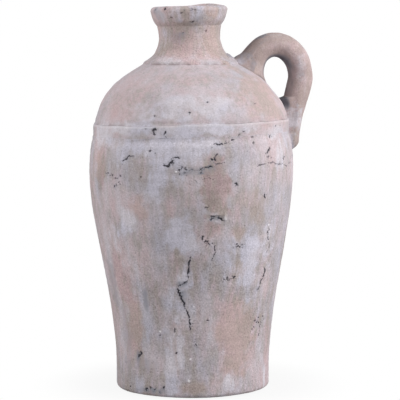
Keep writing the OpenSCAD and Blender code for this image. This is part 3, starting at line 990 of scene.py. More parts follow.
    def scatter(self):
        """Spreads like marks over the side that the photograph doesn't show."""
        far = self.view.forward
        middle = math.atan2(far[1], far[0])
        for _ in range(FAR_CRACKS):
            turn, z = middle + self.draw(FAR_BEARING), self.draw(FAR_CRACK_Z)
            heading = self.dice.choice((self.draw(FAR_CRACK_FLAT), self.draw(FAR_CRACK_STEEP)))
            trail = [(turn, z)]
            for _ in range(self.dice.randint(*FAR_CRACK_STEPS)):
                heading += self.draw(FAR_CRACK_BEND)
                stride = self.draw(FAR_CRACK_STRIDE)
                turn += stride * math.cos(heading) / self.profile.radius(z)
                z = np.clip(z + stride * math.sin(heading), *FAR_CRACK_ENDS)
                trail.append((turn, z))
            line = self.profile.place(*np.array(trail).T)
            self.add_crack(line, self.draw(FAR_CRACK_WIDTH), self.draw(FAR_DARK))
        for _ in range(FAR_PITS):
            place = self.profile.place(middle + self.draw(FAR_BEARING), self.draw(FAR_PIT_Z))
            self.add_pit(place, self.draw(FAR_PIT_WIDTH), self.draw(FAR_DARK))
        for coat, (amount, most) in FAR_COATS.items():
            for _ in range(amount):
                place = self.profile.place(middle + self.draw(FAR_BEARING), self.draw(FAR_COAT_Z))
                half = np.array((self.draw(FAR_COAT_W), self.draw(FAR_COAT_H)))
                self.patches.append((COATS.index(coat), place, half, most * self.draw(FAR_COAT_SHARE)))

    def distance(self, place):
        return self.tree.find(place)[2]

    def carve(self, co):
        """Depth of cracks at points, and how dark and how stained they are."""
        found = [self.tree.find(p) for p in co.tolist()]
        index = np.array([f[1] for f in found])
        away = np.array([f[2] for f in found])
        half = self.half[index]
        depth = self.depth[index] * (1 - ease(away, *np.outer(self.FLOOR_OF_CRACK, half)))
        dark = self.dark[index] * (1 - ease(away, *np.outer(self.DARK_OF_CRACK, half)))
        stain = self.dark[index] * np.minimum(1, half / self.STAIN_WIDTH) * np.exp(-away / self.STAIN_REACH)
        return depth, dark, stain

    def away_from(self, centre, half, co):
        """Distance of points from a place on the wall, counted in half sizes of a patch."""
        off = turned(np.arctan2(co[:, 1], co[:, 0]), math.atan2(centre[1], centre[0]))
        return np.hypot(off * np.hypot(co[:, 0], co[:, 1]) / half[0], (co[:, 2] - centre[2]) / half[1])

    def dents(self, co):
        """Depth of dents at points, and how pale they are."""
        ragged = layered(co, self.DENT_RAGGED)
        depth, pale = np.zeros((2, len(co)))
        for centre, half, deep, bright in self.hollows:
            amount = 1 - ease(self.away_from(centre, half, co) + ragged, *self.DENT_FADE)
            depth += deep * amount
            pale = np.maximum(pale, bright * amount)
        return depth, pale

    def coats(self, co):
        """Amount of wash, ochre, and soot with painted shade, at points of the wall."""
        z = co[:, 2]
        ragged = layered(co, *self.COAT_RAGGED)
        amounts, taken = np.zeros((2, len(co), len(COATS)))
        neck = ease(z, *BARE_NECK_Z) * (1 - RIM_COVER * ease(z, *RIM_COVER_Z))
        amounts[:, COATS.index("ochre")] = BARE_NECK * neck * (1 + ragged)
        for column, centre, half, strength in self.patches:
            amount = strength * (1 - ease(self.away_from(centre, half, co) + ragged, *self.COAT_FADE))
            if strength > 0:
                amounts[:, column] = np.maximum(amounts[:, column], amount)
            else:
                taken[:, column] = np.minimum(taken[:, column], amount)
        return amounts + taken

    def handle_coats(self, co):
        """Amount of wash with a painted highlight, ochre, and soot with painted shade, at points of the
        handle.
        """
        ragged = layered(co, *self.HANDLE_RAGGED)
        pixels = self.view.pixels(co)
        amounts = np.zeros((len(co), len(COATS)))
        for patch in HANDLE_PATCHES.values():
            away = np.linalg.norm((pixels - patch.at) / patch.half, axis=1) + ragged
            amount = patch.strength * (1 - ease(away, *self.COAT_FADE))
            column = COATS.index(patch.coat)
            amounts[:, column] = np.maximum(amounts[:, column], amount)
        return amounts


# Turned sections

CREASE = 2 * MM
SEAM_CREASE = 4 * MM


class Outline:
    """Closed outline of a turned section, from the foot of its skin round to its joints."""

    def __init__(self, surface):
        self.skin_pitch = surface.skin_pitch
        self.inner_pitch = surface.inner_pitch
        self.points, self.lie, self.wear_and_painted_light = [], [], []

    def skin(self, points, grime_ends=(0, 0), rub=0.0, inside=0.0, crease=CREASE):
        """Adds a visible stretch; creases at its ends hold grime with painted shade, and an edge is rubbed
        pale, with a painted highlight on a ledge's edge.
        """
        points = np.asarray(points, float)
        run = np.gradient(points, axis=0)
        run /= np.linalg.norm(run, axis=1)[:, None]
        far = walk(points)
        grime = grime_ends[0] * np.exp(-far / crease) + grime_ends[1] * np.exp(-(far[-1] - far) / crease)
        for (r, z), (dr, dz), dirt_and_shade in zip(points, run, grime):
            self.add(r, z, (dz, -dr, 1.0), (rub, dirt_and_shade, inside))

    def rounded(self, tip, after, **wear_and_painted_light):
        """Adds a rounded corner from the last point on."""
        self.skin(corner(self.points[-1], tip, after), **wear_and_painted_light)

    def flat(self, *points):
        """Adds corners of the joints that no one sees."""
        for r, z in points:
            self.add(r, z, (0, 0, 0), (0, 0, 1.0))

    def inner(self, points):
        """Adds the inside of the wall."""
        self.flat(*spaced(points, self.inner_pitch))

    def add(self, r, z, lie, wear_and_painted_light):
        same = self.points and math.dist(self.points[-1], (r, z)) < HAIR / 2
        if not same:
            self.points.append((float(r), float(z)))
            self.lie.append(lie)
            self.wear_and_painted_light.append(wear_and_painted_light)


DOUBLINGS = 4


def turn_section(outline, steps):
    """Spins an outline into a closed shell whose corners know their lie, and their wear with painted shade
    and highlight.
    """
    bm = bmesh.new()
    lie = bm.verts.layers.float_vector.new("lie")
    wear_and_painted_light = bm.verts.layers.float_vector.new("wear_and_painted_light")
    corners = []
    for (r, z), how, worn in zip(outline.points, outline.lie, outline.wear_and_painted_light):
        vert = bm.verts.new((r, 0, z))
        vert[lie] = how
        vert[wear_and_painted_light] = worn
        corners.append(vert)
    on_axis = corners[0].co.x < HAIR
    following = corners[1:] if on_axis else corners[1:] + corners[:1]
    edges = [bm.edges.new(pair) for pair in zip(corners, following)]
    sector = 2 * math.pi / 2 ** DOUBLINGS
    bmesh.ops.spin(bm, geom=corners + edges, cent=(0, 0, 0), axis=(0, 0, 1), angle=sector,
                   steps=steps // 2 ** DOUBLINGS)
    for doubling in range(DOUBLINGS):
        made = bmesh.ops.duplicate(bm, geom=bm.verts[:] + bm.edges[:] + bm.faces[:])["geom"]
        copies = [g for g in made if isinstance(g, bmesh.types.BMVert)]
        turn = Matrix.Rotation(sector * 2 ** doubling, 3, "Z")
        bmesh.ops.rotate(bm, verts=copies, cent=(0, 0, 0), matrix=turn)
    bmesh.ops.remove_doubles(bm, verts=bm.verts[:], dist=HAIR / 10)
    bmesh.ops.recalc_face_normals(bm, faces=bm.faces[:])
    return bm


def in_order(edges):
    """Each edge once, in the order met, so that every run writes the same mesh."""
    return list(dict.fromkeys(edges))


def refine(bm, marks, reach):
    """Halves the mesh where cracks and pits run, so that their edges are crisp."""
    near = [v for v in bm.verts if marks.distance(v.co) < reach]
    edges = in_order(e for v in near for f in v.link_faces for e in f.edges)
    bmesh.ops.subdivide_edges(bm, edges=edges, cuts=1, use_grid_fill=True)


def read(mesh, name):
    """A vector attribute of a mesh as rows."""
    flat = np.empty(len(mesh.vertices) * 3)
    mesh.attributes[name].data.foreach_get("vector", flat)
    return flat.reshape(-1, 3)


def write(mesh, name, *columns):
    """Sets a vector attribute of a mesh from its three columns."""
    attribute = mesh.attributes.get(name) or mesh.attributes.new(name, "FLOAT_VECTOR", "POINT")
    attribute.data.foreach_set("vector", np.stack(columns, axis=1).astype(np.float32).ravel())


SHARP = math.radians(42)


def add_piece(scene, name, node, bm):
    """Makes a mesh object that stands for a CAD node and takes the node's finish."""
    mesh = bpy.data.meshes.new(name)
    bm.to_mesh(mesh)
    bm.free()
    piece = bpy.data.objects.new(name, mesh)
    scene.collection.objects.link(piece)
    mesh.polygons.foreach_set("use_smooth", [True] * len(mesh.polygons))
    mesh.set_sharp_from_angle(angle=SHARP)
    slot = next(p["material_slot"] for p in frame["record"]["subparts"] if p["node"] == node)
    mesh.materials.append(clay_material(scene, slot))
    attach(piece, "root")
    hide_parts(node)
    return piece


LEDGE_Z = (BAND_Z - 10 * MM, BAND_Z - 1 * MM)
LEDGE_FADE = (2 * MM, 5 * MM)
GRIME_PATCHES = (Layer(1, 17 * MM, 4.7), Layer(0.5, 5 * MM, 8.8))
GRIME_EASE = (-0.35, 0.35)
REFINE = (2.8 * MM, 1.5 * MM)


def smear_ledge(co, hidden):
    """Draws the belly's ledge back under the slip that hides it."""
    radius = np.hypot(co[:, 0], co[:, 1])
    near = ease(co[:, 2], *LEDGE_Z) * (co[:, 2] < BAND_Z + HAIR)
    drawn = np.maximum(radius - near * hidden * (BELLY_TOP_R - BAND_R), np.minimum(radius, BAND_R + HAIR))
    return co * np.stack([drawn / radius, drawn / radius, np.ones(len(co))], axis=1)


def weather(mesh, marks, surface):
    """Gives a turned section its hand marks, cracks and stains, painted shade in its creases and painted
    highlights on its ledges, and settles it.
    """
    co = places(mesh)
    lie = read(mesh, "lie")
    skin = lie[:, 2]
    on_skin = skin > 0.5
    bearing = np.arctan2(co[:, 1], co[:, 0])
    hidden = smeared(bearing)
    open_edge = 1 - hidden * (1 - ease(abs(co[:, 2] - BAND_Z), *LEDGE_FADE))
    depth, dark, stain = marks.carve(co)
    co[on_skin] = smear_ledge(co[on_skin], hidden[on_skin])
    out = np.stack([lie[:, 0] * np.cos(bearing), lie[:, 0] * np.sin(bearing), lie[:, 1]], axis=1)
    hollow, pale = marks.dents(co)
    height = (relief(co, surface) - depth - hollow) * skin
    patchy = ease(layered(co, *GRIME_PATCHES), *GRIME_EASE)
    rub, grime, inside = read(mesh, "wear_and_painted_light").T
    write(mesh, "wear_and_painted_light", np.maximum(rub * open_edge, pale), grime * patchy * open_edge, inside)
    # The last part, how far the skin faces up, stands for dust and painted light from above.
    write(mesh, "marks", dark * skin, stain * skin, np.clip(lie[:, 1], 0, 1))
    write(mesh, "coats", *(marks.coats(co) * skin[:, None]).T)
    moved = settle(co + out * height[:, None])
    moved[:, 2] = np.maximum(moved[:, 2], 0)
    mesh.vertices.foreach_set("co", moved.ravel())
    mesh.attributes.remove(mesh.attributes["lie"])
    mesh.update()


def make_section(scene, name, node, outline, steps):
    """Turns, cracks and weathers one section."""
    marks = Marks(scene)
    bm = turn_section(outline, steps)
    for reach in REFINE:
        refine(bm, marks, reach)
    piece = add_piece(scene, name, node, bm)
    weather(piece.data, marks, scene.jug_surface)


# Mesh of the floor's underside and inside
HUB_R = 6 * MM
UNDERSIDE_PITCH = 4 * MM
FLOOR_PITCH = 6 * MM
GROOVE_EDGE = 2 * MM
# Height of the cove as a multiple of its depth, and how much finer the rim's mesh is
COVE_RISE = 3.6
RIM_FINENESS = 0.7
# Shares of the way out and up at which the rim's underside bends
UNDER_BEND = (0.6, 0.25)
# Flat left outside the dome's foot, and how far edges run in under or sink into the next piece
SHELF = 0.3 * MM
TUCK = 1 * MM
SUNK = 0.3 * MM


class JUG_OT_floor_slab(bpy.types.Operator):
    """Turns the floor slab, with its rounded foot and the groove for the wall"""
    bl_idname = "jug.floor_slab"
    bl_label = "Floor slab"

    def execute(self, context):
        scene = context.scene
        rounding = scene.jug_shape.foot_round
        groove = FOOT_R - WALL
        outline = Outline(scene.jug_surface)
        outline.flat((0, 0), *spaced([(HUB_R, 0), (FOOT_R - 2 * rounding, 0)], UNDERSIDE_PITCH))
        # The grime at the bottom of the foot's rounding also paints the shade next to the floor.
        outline.skin(arc((FOOT_R - rounding, rounding), rounding, *FOOT_ARC), grime_ends=(0.2, 0))
        outline.skin(spaced([(FOOT_R, rounding), (FOOT_R, LOWER_Z)], outline.skin_pitch))
        outline.flat((SLAB_STEP, LOWER_Z), (SLAB_STEP, LOWER_Z - LAP))
        outline.flat((groove, LOWER_Z - LAP), (groove, LOWER_Z))
        outline.flat(*spaced([(groove - GROOVE_EDGE, LOWER_Z), (HUB_R, LOWER_Z)], FLOOR_PITCH), (0, LOWER_Z))
        make_section(scene, "floor_slab", "base_slab", outline, scene.jug_surface.body_steps)
        return {"FINISHED"}


class JUG_OT_lower_section(bpy.types.Operator):
    """Turns the lower wall, from the floor to the seam under the belly"""
    bl_idname = "jug.lower_section"
    bl_label = "Lower section"

    def execute(self, context):
        scene = context.scene
        line = outer_lines(scene.jug_shape)["lower"]
        seam_step = line[-1][0] - WALL / 2
        inner = between(line - (WALL, 0), scene.jug_shape.foot_straight, BELLY_Z - LAP)[::-1]
        outline = Outline(scene.jug_surface)
        outline.skin(spaced(line, outline.skin_pitch))
        outline.flat((seam_step, BELLY_Z), (seam_step, BELLY_Z - LAP))
        outline.inner(inner)
        outline.flat((FOOT_R - WALL, LOWER_Z - LAP), (SLAB_STEP, LOWER_Z - LAP), (SLAB_STEP, LOWER_Z))
        make_section(scene, "lower_section", "lower_wall", outline, scene.jug_surface.body_steps)
        return {"FINISHED"}


class JUG_OT_belly_section(bpy.types.Operator):
    """Turns the belly wall, up to the ledge under the band"""
    bl_idname = "jug.belly_section"
    bl_label = "Belly section"

    def execute(self, context):
        scene = context.scene
        rounding = scene.jug_shape.ledge_round
        lines = outer_lines(scene.jug_shape)
        line = lines["belly"]
        whole = np.concatenate([lines["lower"], line[1:]]) - (WALL, 0)
        seam_step = line[0][0] - WALL / 2
        outline = Outline(scene.jug_surface)
        outline.skin(spaced(between(line, BELLY_Z, BAND_Z - rounding), outline.skin_pitch))
        # The rubbed pale edge of the ledge also paints its highlight.
        outline.rounded((BELLY_TOP_R, BAND_Z), (BELLY_TOP_R - rounding, BAND_Z), rub=0.5)
        # The grime in the ledge's corner also paints the shade there.
        outline.skin([(BELLY_TOP_R - rounding, BAND_Z), (BAND_R, BAND_Z)], grime_ends=(0, 0.6))
        outline.flat((BAND_STEP, BAND_Z), (BAND_STEP, BAND_Z - LAP))
        outline.inner(between(whole, BELLY_Z - LAP, BAND_Z - LAP)[::-1])
        outline.flat((seam_step, BELLY_Z - LAP), (seam_step, BELLY_Z))
        make_section(scene, "belly_section", "belly_wall", outline, scene.jug_surface.body_steps)
        return {"FINISHED"}


class JUG_OT_band_ring(bpy.types.Operator):
    """Turns the flat band round the shoulder"""
    bl_idname = "jug.band_ring"
    bl_label = "Band ring"

    def execute(self, context):
        scene = context.scene
        rounding = scene.jug_shape.band_round
        lines = outer_lines(scene.jug_shape)
        line = lines["band"]
        inner_r = between(lines["belly"], BAND_Z - LAP, BAND_Z)[0][0] - WALL
        outline = Outline(scene.jug_surface)
        fine = outline.skin_pitch / 2
        # The grime in the corners at the band's foot and at the dome's foot also paints the shade there.
        outline.skin(spaced(between(line, BAND_Z, DOME_Z - rounding), fine), grime_ends=(0.5, 0))
        # The rubbed pale top edge of the band also paints its highlight.
        outline.rounded((BAND_TOP_R, DOME_Z), (DOME_R + SHELF, DOME_Z), rub=0.48)
        outline.skin([(DOME_R + SHELF, DOME_Z), (DOME_R - TUCK, DOME_Z)], grime_ends=(0, 0.4))
        outline.flat((DOME_STEP, DOME_Z), (DOME_STEP, DOME_Z - LAP), (DOME_R - WALL, DOME_Z - LAP))
        outline.flat((inner_r, BAND_Z - LAP), (BAND_STEP, BAND_Z - LAP), (BAND_STEP, BAND_Z))
        make_section(scene, "band_ring", "shoulder_band", outline, scene.jug_surface.body_steps)
        return {"FINISHED"}


class JUG_OT_shoulder_cap(bpy.types.Operator):
    """Turns the dome over the shoulder"""
    bl_idname = "jug.shoulder_cap"
    bl_label = "Shoulder cap"

    def execute(self, context):
        scene = context.scene
        shape = scene.jug_shape
        rounding = shape.ledge_round / 2
        line = between(outer_lines(shape)["dome"], DOME_Z + COVE_RISE * shape.cove, NECK_Z - rounding / 2)
        vault = dome_curve((DOME_R - WALL, DOME_Z - LAP), (SPIGOT_R, NECK_Z - LAP),
                           shape.dome_pull, shape.vault_reach, shape.vault_drop)
        outline = Outline(scene.jug_surface)
        cove = corner((DOME_R + shape.cove, DOME_Z), (DOME_R, DOME_Z), line[0])
        # Grime in the cove and along the seat also paints the shade in these creases.
        outline.skin(cove, grime_ends=(0.62, 0), crease=SEAM_CREASE)
        outline.skin(spaced(line, outline.skin_pitch), grime_ends=(0.22, 0.6), crease=SEAM_CREASE)
        outline.rounded((SEAT_R, NECK_Z), (SEAT_R - rounding, NECK_Z), grime_ends=(0.45, 0.45))
        outline.skin([(SEAT_R - rounding, NECK_Z), (NECK_FOOT_R - TUCK, NECK_Z)], grime_ends=(0.45, 0.45))
        outline.flat((SPIGOT_R, NECK_Z))
        outline.inner(vault[::-1])
        outline.flat((DOME_STEP, DOME_Z - LAP), (DOME_STEP, DOME_Z))
        make_section(scene, "shoulder_cap", "shoulder_dome", outline, scene.jug_surface.body_steps)
        return {"FINISHED"}


class JUG_OT_neck_collar(bpy.types.Operator):
    """Turns the neck, from its seat on the dome to the rim"""
    bl_idname = "jug.neck_collar"
    bl_label = "Neck collar"

    def execute(self, context):
        scene = context.scene
        shape = scene.jug_shape
        outline = Outline(scene.jug_surface)
        lines = outer_lines(shape)
        edge_z = NECK_Z + shape.neck_edge
        line = spaced(between(lines["neck"], edge_z + shape.seam_fill, RIM_Z), outline.skin_pitch)
        foot = between(lines["dome"], DOME_Z, NECK_Z - shape.seam_fill)[-1] - (0, SUNK)
        skirt = corner(foot, (lines["neck"][0][0], edge_z), line[0])
        # The grime where the neck's foot meets the dome, and under the rim, also paints the shade in those
        # creases.
        outline.skin(skirt, grime_ends=(1.0, 0.25), crease=SEAM_CREASE / 2)
        outline.skin(line, grime_ends=(0.1, 0.1), crease=SEAM_CREASE)
        outline.flat((RIM_STEP, RIM_Z), (RIM_STEP, RIM_Z - LAP))
        outline.inner([(BORE_R, RIM_Z - LAP), (BORE_R, NECK_Z - LAP)])
        outline.flat((SPIGOT_R, NECK_Z - LAP), (SPIGOT_R, NECK_Z), (SEAT_R, NECK_Z))
        make_section(scene, "neck_collar", "neck", outline, scene.jug_surface.neck_steps)
        return {"FINISHED"}


class JUG_OT_rim_lip(bpy.types.Operator):
    """Turns the rim, with its rounded lip and the mouth inside it"""
    bl_idname = "jug.rim_lip"
    bl_label = "Rim lip"

    def execute(self, context):
        scene = context.scene
        shape = scene.jug_shape
        lip = shape.rim_round
        outline = Outline(scene.jug_surface)
        fine = outline.skin_pitch * RIM_FINENESS
        flank = between(outer_lines(shape)["rim"], RIM_Z + shape.rim_under, TOP_Z - lip)
        under_tip = part_way((NECK_TOP_R, RIM_Z), (RIM_FOOT_R, RIM_Z + shape.rim_under), UNDER_BEND)
        under = corner((NECK_TOP_R - SUNK, RIM_Z), under_tip, flank[0])
        outer = spaced(np.concatenate([under, flank[1:]]), fine)
        over = np.concatenate([arc((RIM_R - lip, TOP_Z - lip), lip, 0, 90),
                               arc((shape.mouth_r + lip, TOP_Z - lip), lip, 90, 180)])
        # The grime under the rim also paints the shade there.
        outline.skin(outer, grime_ends=(0.15, 0))
        outline.skin(spaced(over, fine), rub=0.25)
        throat = spaced([(shape.mouth_r, TOP_Z - lip), (BORE_R, RIM_Z - LAP)], 2 * fine)
        outline.skin(throat, inside=0.7)
        outline.flat((RIM_STEP, RIM_Z - LAP), (RIM_STEP, RIM_Z))
        make_section(scene, "rim_lip", "rim", outline, scene.jug_surface.neck_steps)
        return {"FINISHED"}


# Handle

class Roll:
    """Middle line of the handle, with its thickness and width along the way."""

    ROOT_TAPER = 0.32
    TAIL_TAPER = 0.35
    HALF_WEIGHT = 3 / 8
    SOFT = 5 * MM
    BEND = (0.3, 0.5)
    ENTRY = 0.35
    HALVINGS = 30

    def __init__(self, scene):
        h = scene.jug_handle
        self.profile = Profile(scene.jug_shape, self.SOFT)
        tail_w = HANDLE_HIGH.y - HANDLE_LOW.y
        self.tail_round = h.tail_round
        self.tail_in = h.tail_out + MM
        root = np.array((NECK_FOOT_R + h.root_out, blend(DOME_Z, NECK_Z, h.root_height)))
        bend = np.array((HANDLE_HIGH.x - h.grip_t / 2, NECK_Z - h.bend_drop))
        peak_z = HANDLE_HIGH.z - h.grip_t / 2
        tail_z = HANDLE_LOW.z + h.tail_round - h.tail_drop
        self.tail = np.array((float(self.profile.radius(tail_z)) + h.tail_out, tail_z))
        pull = (peak_z - (root[1] + bend[1]) / 2) / self.HALF_WEIGHT
        over = curve(root, root + (0, pull * h.root_share), bend + (0, pull * (1 - h.root_share)), bend)
        drop = bend[1] - tail_z
        tail_pull = (self.tail[0], bend[1] - drop * h.arm_high)
        arm = curve(bend, bend - (0, drop * h.arm_low), tail_pull, self.tail)
        self.length = walk(over)[-1] + walk(arm)[-1] + h.tail_round
        waist = ease(np.linspace(0, 1, len(over)), 0, self.ROOT_TAPER)
        fall = ease(np.linspace(0, 1, len(arm)), self.TAIL_TAPER, 1)[1:]
        self.line = np.concatenate([over, arm[1:]])
        self.thick = np.concatenate([blend(h.root_t, h.grip_t, waist), blend(h.grip_t, h.tail_t, fall)])
        self.wide = np.concatenate([np.full(len(over), h.grip_w), blend(h.grip_w, tail_w, fall)])
        self.run = walk(self.line)

    def middle(self, run):
        """Points of the middle line at distances along it."""
        return np.stack([np.interp(run, self.run, column) for column in self.line.T], axis=1)

    def past_bend(self, run):
        """Share by which distances along the roll lie past its bend."""
        return ease(run / self.length, *self.BEND)

    def at(self, run):
        """Middle point, direction, thickness and width at distances along the roll."""
        near = np.clip(run, MM, self.run[-1] - MM)
        heading = self.middle(near + MM) - self.middle(near - MM)
        heading /= np.linalg.norm(heading, axis=1)[:, None]
        past = np.clip((run - self.run[-1]) / self.tail_round, 0, 1)
        middle = self.middle(run) + np.stack([-past ** 2 * self.tail_in, -past * self.tail_round], axis=1)
        cap = np.sqrt(np.clip(1 - past ** 2, 0, 1))
        thick = np.interp(run, self.run, self.thick) * cap
        wide = np.interp(run, self.run, self.wide) * cap
        return middle, heading, thick, wide

    def skin(self, run, turn):
        """Points on the roll at distances along it and turns round it."""
        middle, heading, thick, wide = self.at(run)
        across = np.stack([heading[:, 1], -heading[:, 0]], axis=1) * (thick / 2 * np.cos(turn))[:, None]
        flat = middle + across
        return np.stack([flat[:, 0], wide / 2 * np.sin(turn), flat[:, 1]], axis=1)

    def entry(self, turn, sink):
        """Distance along the roll at which each column leaves the wall."""
        low = np.zeros(len(turn))
        high = np.full(len(turn), self.run[-1] * self.ENTRY)
        for _ in range(self.HALVINGS):
            mid = (low + high) / 2
            buried = self.profile.gap(self.skin(mid, turn)) < -sink
            low = np.where(buried, mid, low)
            high = np.where(buried, high, mid)
        return (low + high) / 2


ROLL_SIDES = 96
ROLL_RINGS = 190
CAP_START = 0.995
PULLED_OUT = (2.2, 55 * MM)
PULL_STREAKS = Layer(1, 1, 4.2)
BRUSH_STREAKS = Layer(1, 1, 7.7)
ROLL_LUMPS = (Layer(1, 24 * MM, 6.6), Layer(0.4, 8 * MM, 2.9))
ROLL_PATCHES = Layer(1, 9 * MM, 4.7)
ROLL_PATCH_EASE = (-0.5, 0.3)
BEND_SET = np.array((0.7, 0, 0.3)) * MM
HOLD_GAP = (2 * MM, 14 * MM)
FILLET_EXTRA = 0.5
FILLET_TURN = (0.2, 0.9)
PUSHES = 2
WEB_TURN = (0.2, 0.7)
WEB_EDGE = (-2 * MM, 3 * MM)
# The joint's dirt also paints the shade where the roll meets the wall.
JOINT_DIRT_AND_SHADE = 0.7
JOINT_REACH = 1.2 * CREASE
# Soot on the inner side and at the crown also paints shade, the corner by the dome gets painted shade with
# some dirt, and the black at the crown is painted shade under the arch.
CORNER_SHADE_AND_DIRT = 1.6
CORNER_Z = ((0.284, 0.298), (0.308, 0.318))
CORNER_TURN = (-0.1, 0.5)
CORNER_GAP = (2 * MM, 10 * MM)
INNER_SOOT_AND_SHADE = 0.58
INNER_Z = (0.297, 0.314)
INNER_TURN = (0.4, 0.98)
CROWN_SOOT_AND_SHADE = 1.1
CROWN_BLACK_SHADE = 0.6
CROWN_Z = (0.325, 0.345)
CROWN_TURN = (0.7, 1)
SLIP_WASH = 0.8
SLIP_Z = (0.284, 0.294)
SLIP_GAP = (1 * MM, 7 * MM)
STROKE_WASH = 0.22
STROKE_SOOT = 0.5
PALE_STROKE = (0.1, 0.4)
DARK_STROKE = (0.15, 0.45)
BARE_HANDLE = 0.9
HANDLE_SOOT = 0.2
HANDLE_GRIME = 0.44


def pushed(points, distance):
    """Points moved straight out from the jug's axis."""
    outward = points * (1, 1, 0)
    return points + outward * (distance / np.linalg.norm(outward, axis=1))[:, None]


class JUG_OT_pulled_handle(bpy.types.Operator):
    """Pulls the handle from its root on the dome, over the bend and down to its tail"""
    bl_idname = "jug.pulled_handle"
    bl_label = "Pulled handle"

    def execute(self, context):
        scene = context.scene
        roll = Roll(scene)
        turn = np.linspace(0, 2 * math.pi, ROLL_SIDES, endpoint=False)
        start = roll.entry(turn, scene.jug_handle.sink)
        end = np.full(ROLL_SIDES, roll.run[-1] + roll.tail_round * CAP_START)
        bm = bmesh.new()
        for name in ("wear_and_painted_light", "lie"):
            bm.verts.layers.float_vector.new(name)
        ring = bmesh.ops.create_circle(bm, segments=ROLL_SIDES, radius=1)["verts"]
        loop = in_order(e for v in ring for e in v.link_edges)
        bmesh.ops.edgeloop_fill(bm, edges=loop)
        self.lay(scene, bm, roll, ring, start, turn)
        for i in range(1, ROLL_RINGS + 1):
            made = bmesh.ops.extrude_edge_only(bm, edges=loop)["geom"]
            ring = [g for g in made if isinstance(g, bmesh.types.BMVert)]
            loop = [g for g in made if isinstance(g, bmesh.types.BMEdge)]
            self.lay(scene, bm, roll, ring, blend(start, end, i / ROLL_RINGS), turn)
        bmesh.ops.edgeloop_fill(bm, edges=loop)
        bmesh.ops.recalc_face_normals(bm, faces=bm.faces[:])
        piece = add_piece(scene, "pulled_handle", "handle", bm)
        self.stain(piece.data, Marks(scene))
        return {"FINISHED"}

    def lay(self, scene, bm, roll, ring, run, turn):
        """Lays one ring of the roll and notes its dirt and painted shade."""
        wear_and_painted_light, lie = (bm.verts.layers.float_vector[name] for name in ("wear_and_painted_light", "lie"))
        spread, pitch = PULLED_OUT
        along = np.stack([spread * np.cos(turn), spread * np.sin(turn), run / pitch], axis=1)
        points, gap = self.shaped(scene.jug_handle, roll, run, turn, along)
        notes = self.dirt_and_shade(roll, points, gap, run, turn)
        strokes = layered(along, BRUSH_STREAKS)
        for vert, place, stroke, (near, hollow, slip, dark) in zip(ring, points, strokes, notes):
            vert.co = place
            # Grime here holds the joint's dirt and painted shade; the lie layer carries the soot and painted
            # shade of the hollow, the slip, and the painted black shade.
            vert[wear_and_painted_light] = (stroke, max(HANDLE_GRIME * (1 - slip), near), 0)
            vert[lie] = (hollow, slip, dark)

    def shaped(self, handle, roll, run, turn, along):
        """Points of a ring, smeared on near the wall and lumpy away from it, and the wall's distance."""
        flat = roll.at(run)[0]
        points = roll.skin(run, turn)
        out = points - np.stack([flat[:, 0], np.zeros(len(run)), flat[:, 1]], axis=1)
        out /= np.linalg.norm(out, axis=1)[:, None]
        gap = roll.profile.gap(points)
        free = np.clip((gap + handle.sink) / (handle.fillet_reach + handle.sink), 0, 1)
        lumps = handle.lump * layered(points, *ROLL_LUMPS) + handle.streak * layered(along, PULL_STREAKS)
        past_bend = roll.past_bend(run)
        root_fillet = handle.fillet * (1 + FILLET_EXTRA * ease(-np.cos(turn), *FILLET_TURN))
        fillet = blend(root_fillet, handle.tail_fillet, past_bend)
        points += out * (fillet * (1 - free) ** 2 + lumps * free)[:, None]
        for _ in range(PUSHES):
            points = pushed(points, np.clip(-handle.sink - roll.profile.gap(points), 0, None))
        web = ease(np.cos(turn), *WEB_TURN) * past_bend * (1 - ease(points[:, 2] - handle.web_z, *WEB_EDGE))
        points = pushed(points, -web * np.clip(roll.profile.gap(points) + handle.web_depth, 0, None))
        hold = 1 - ease(gap, *HOLD_GAP)
        points += lean_of(points)[0] * hold[:, None] + np.outer(1 - hold, BEND_SET)
        return points, gap

    def dirt_and_shade(self, roll, points, gap, run, turn):
        """Dirt with painted shade at the joint, soot with painted shade in the hollow, slip over the tail,
        and painted black shade under the arch and in the web corner of a ring.
        """
        z = points[:, 2]
        facing = np.cos(turn)
        past_bend = roll.past_bend(run)
        in_corner = plateau(z, *CORNER_Z)
        # Dirt with painted shade along the joint.
        near = JOINT_DIRT_AND_SHADE * np.exp(-np.clip(gap, 0, None) / JOINT_REACH) * blend(1, in_corner, past_bend)
        crown = ease(z, *CROWN_Z)
        # Soot with painted shade on the inner side of the loop.
        inner = ease(facing, *INNER_TURN) * ease(z, *INNER_Z) * blend(INNER_SOOT_AND_SHADE, CROWN_SOOT_AND_SHADE, crown)
        reach = 1 - ease(roll.profile.gap(points), *CORNER_GAP)
        # Painted shade, with some dirt, in the corner between the arm and the dome.
        web_shade_and_dirt = in_corner * past_bend * reach * ease(facing, *CORNER_TURN)
        hollow = np.maximum(inner, CORNER_SHADE_AND_DIRT * web_shade_and_dirt)
        slip = (1 - ease(gap, *SLIP_GAP)) * past_bend * (1 - ease(z, *SLIP_Z))
        # Painted black shade under the arch and in that corner.
        black_shade = np.maximum(web_shade_and_dirt, CROWN_BLACK_SHADE * ease(facing, *CROWN_TURN) * crown)
        return np.stack([near, hollow, slip, black_shade], axis=1)

    def stain(self, mesh, marks):
        """Gives the roll its wash, its dirt with painted shade in the hollow, and the painted dark shade
        under the arch and where it meets the wall.
        """
        co = places(mesh)
        normals = np.empty(len(co) * 3)
        mesh.vertex_normals.foreach_get("vector", normals)
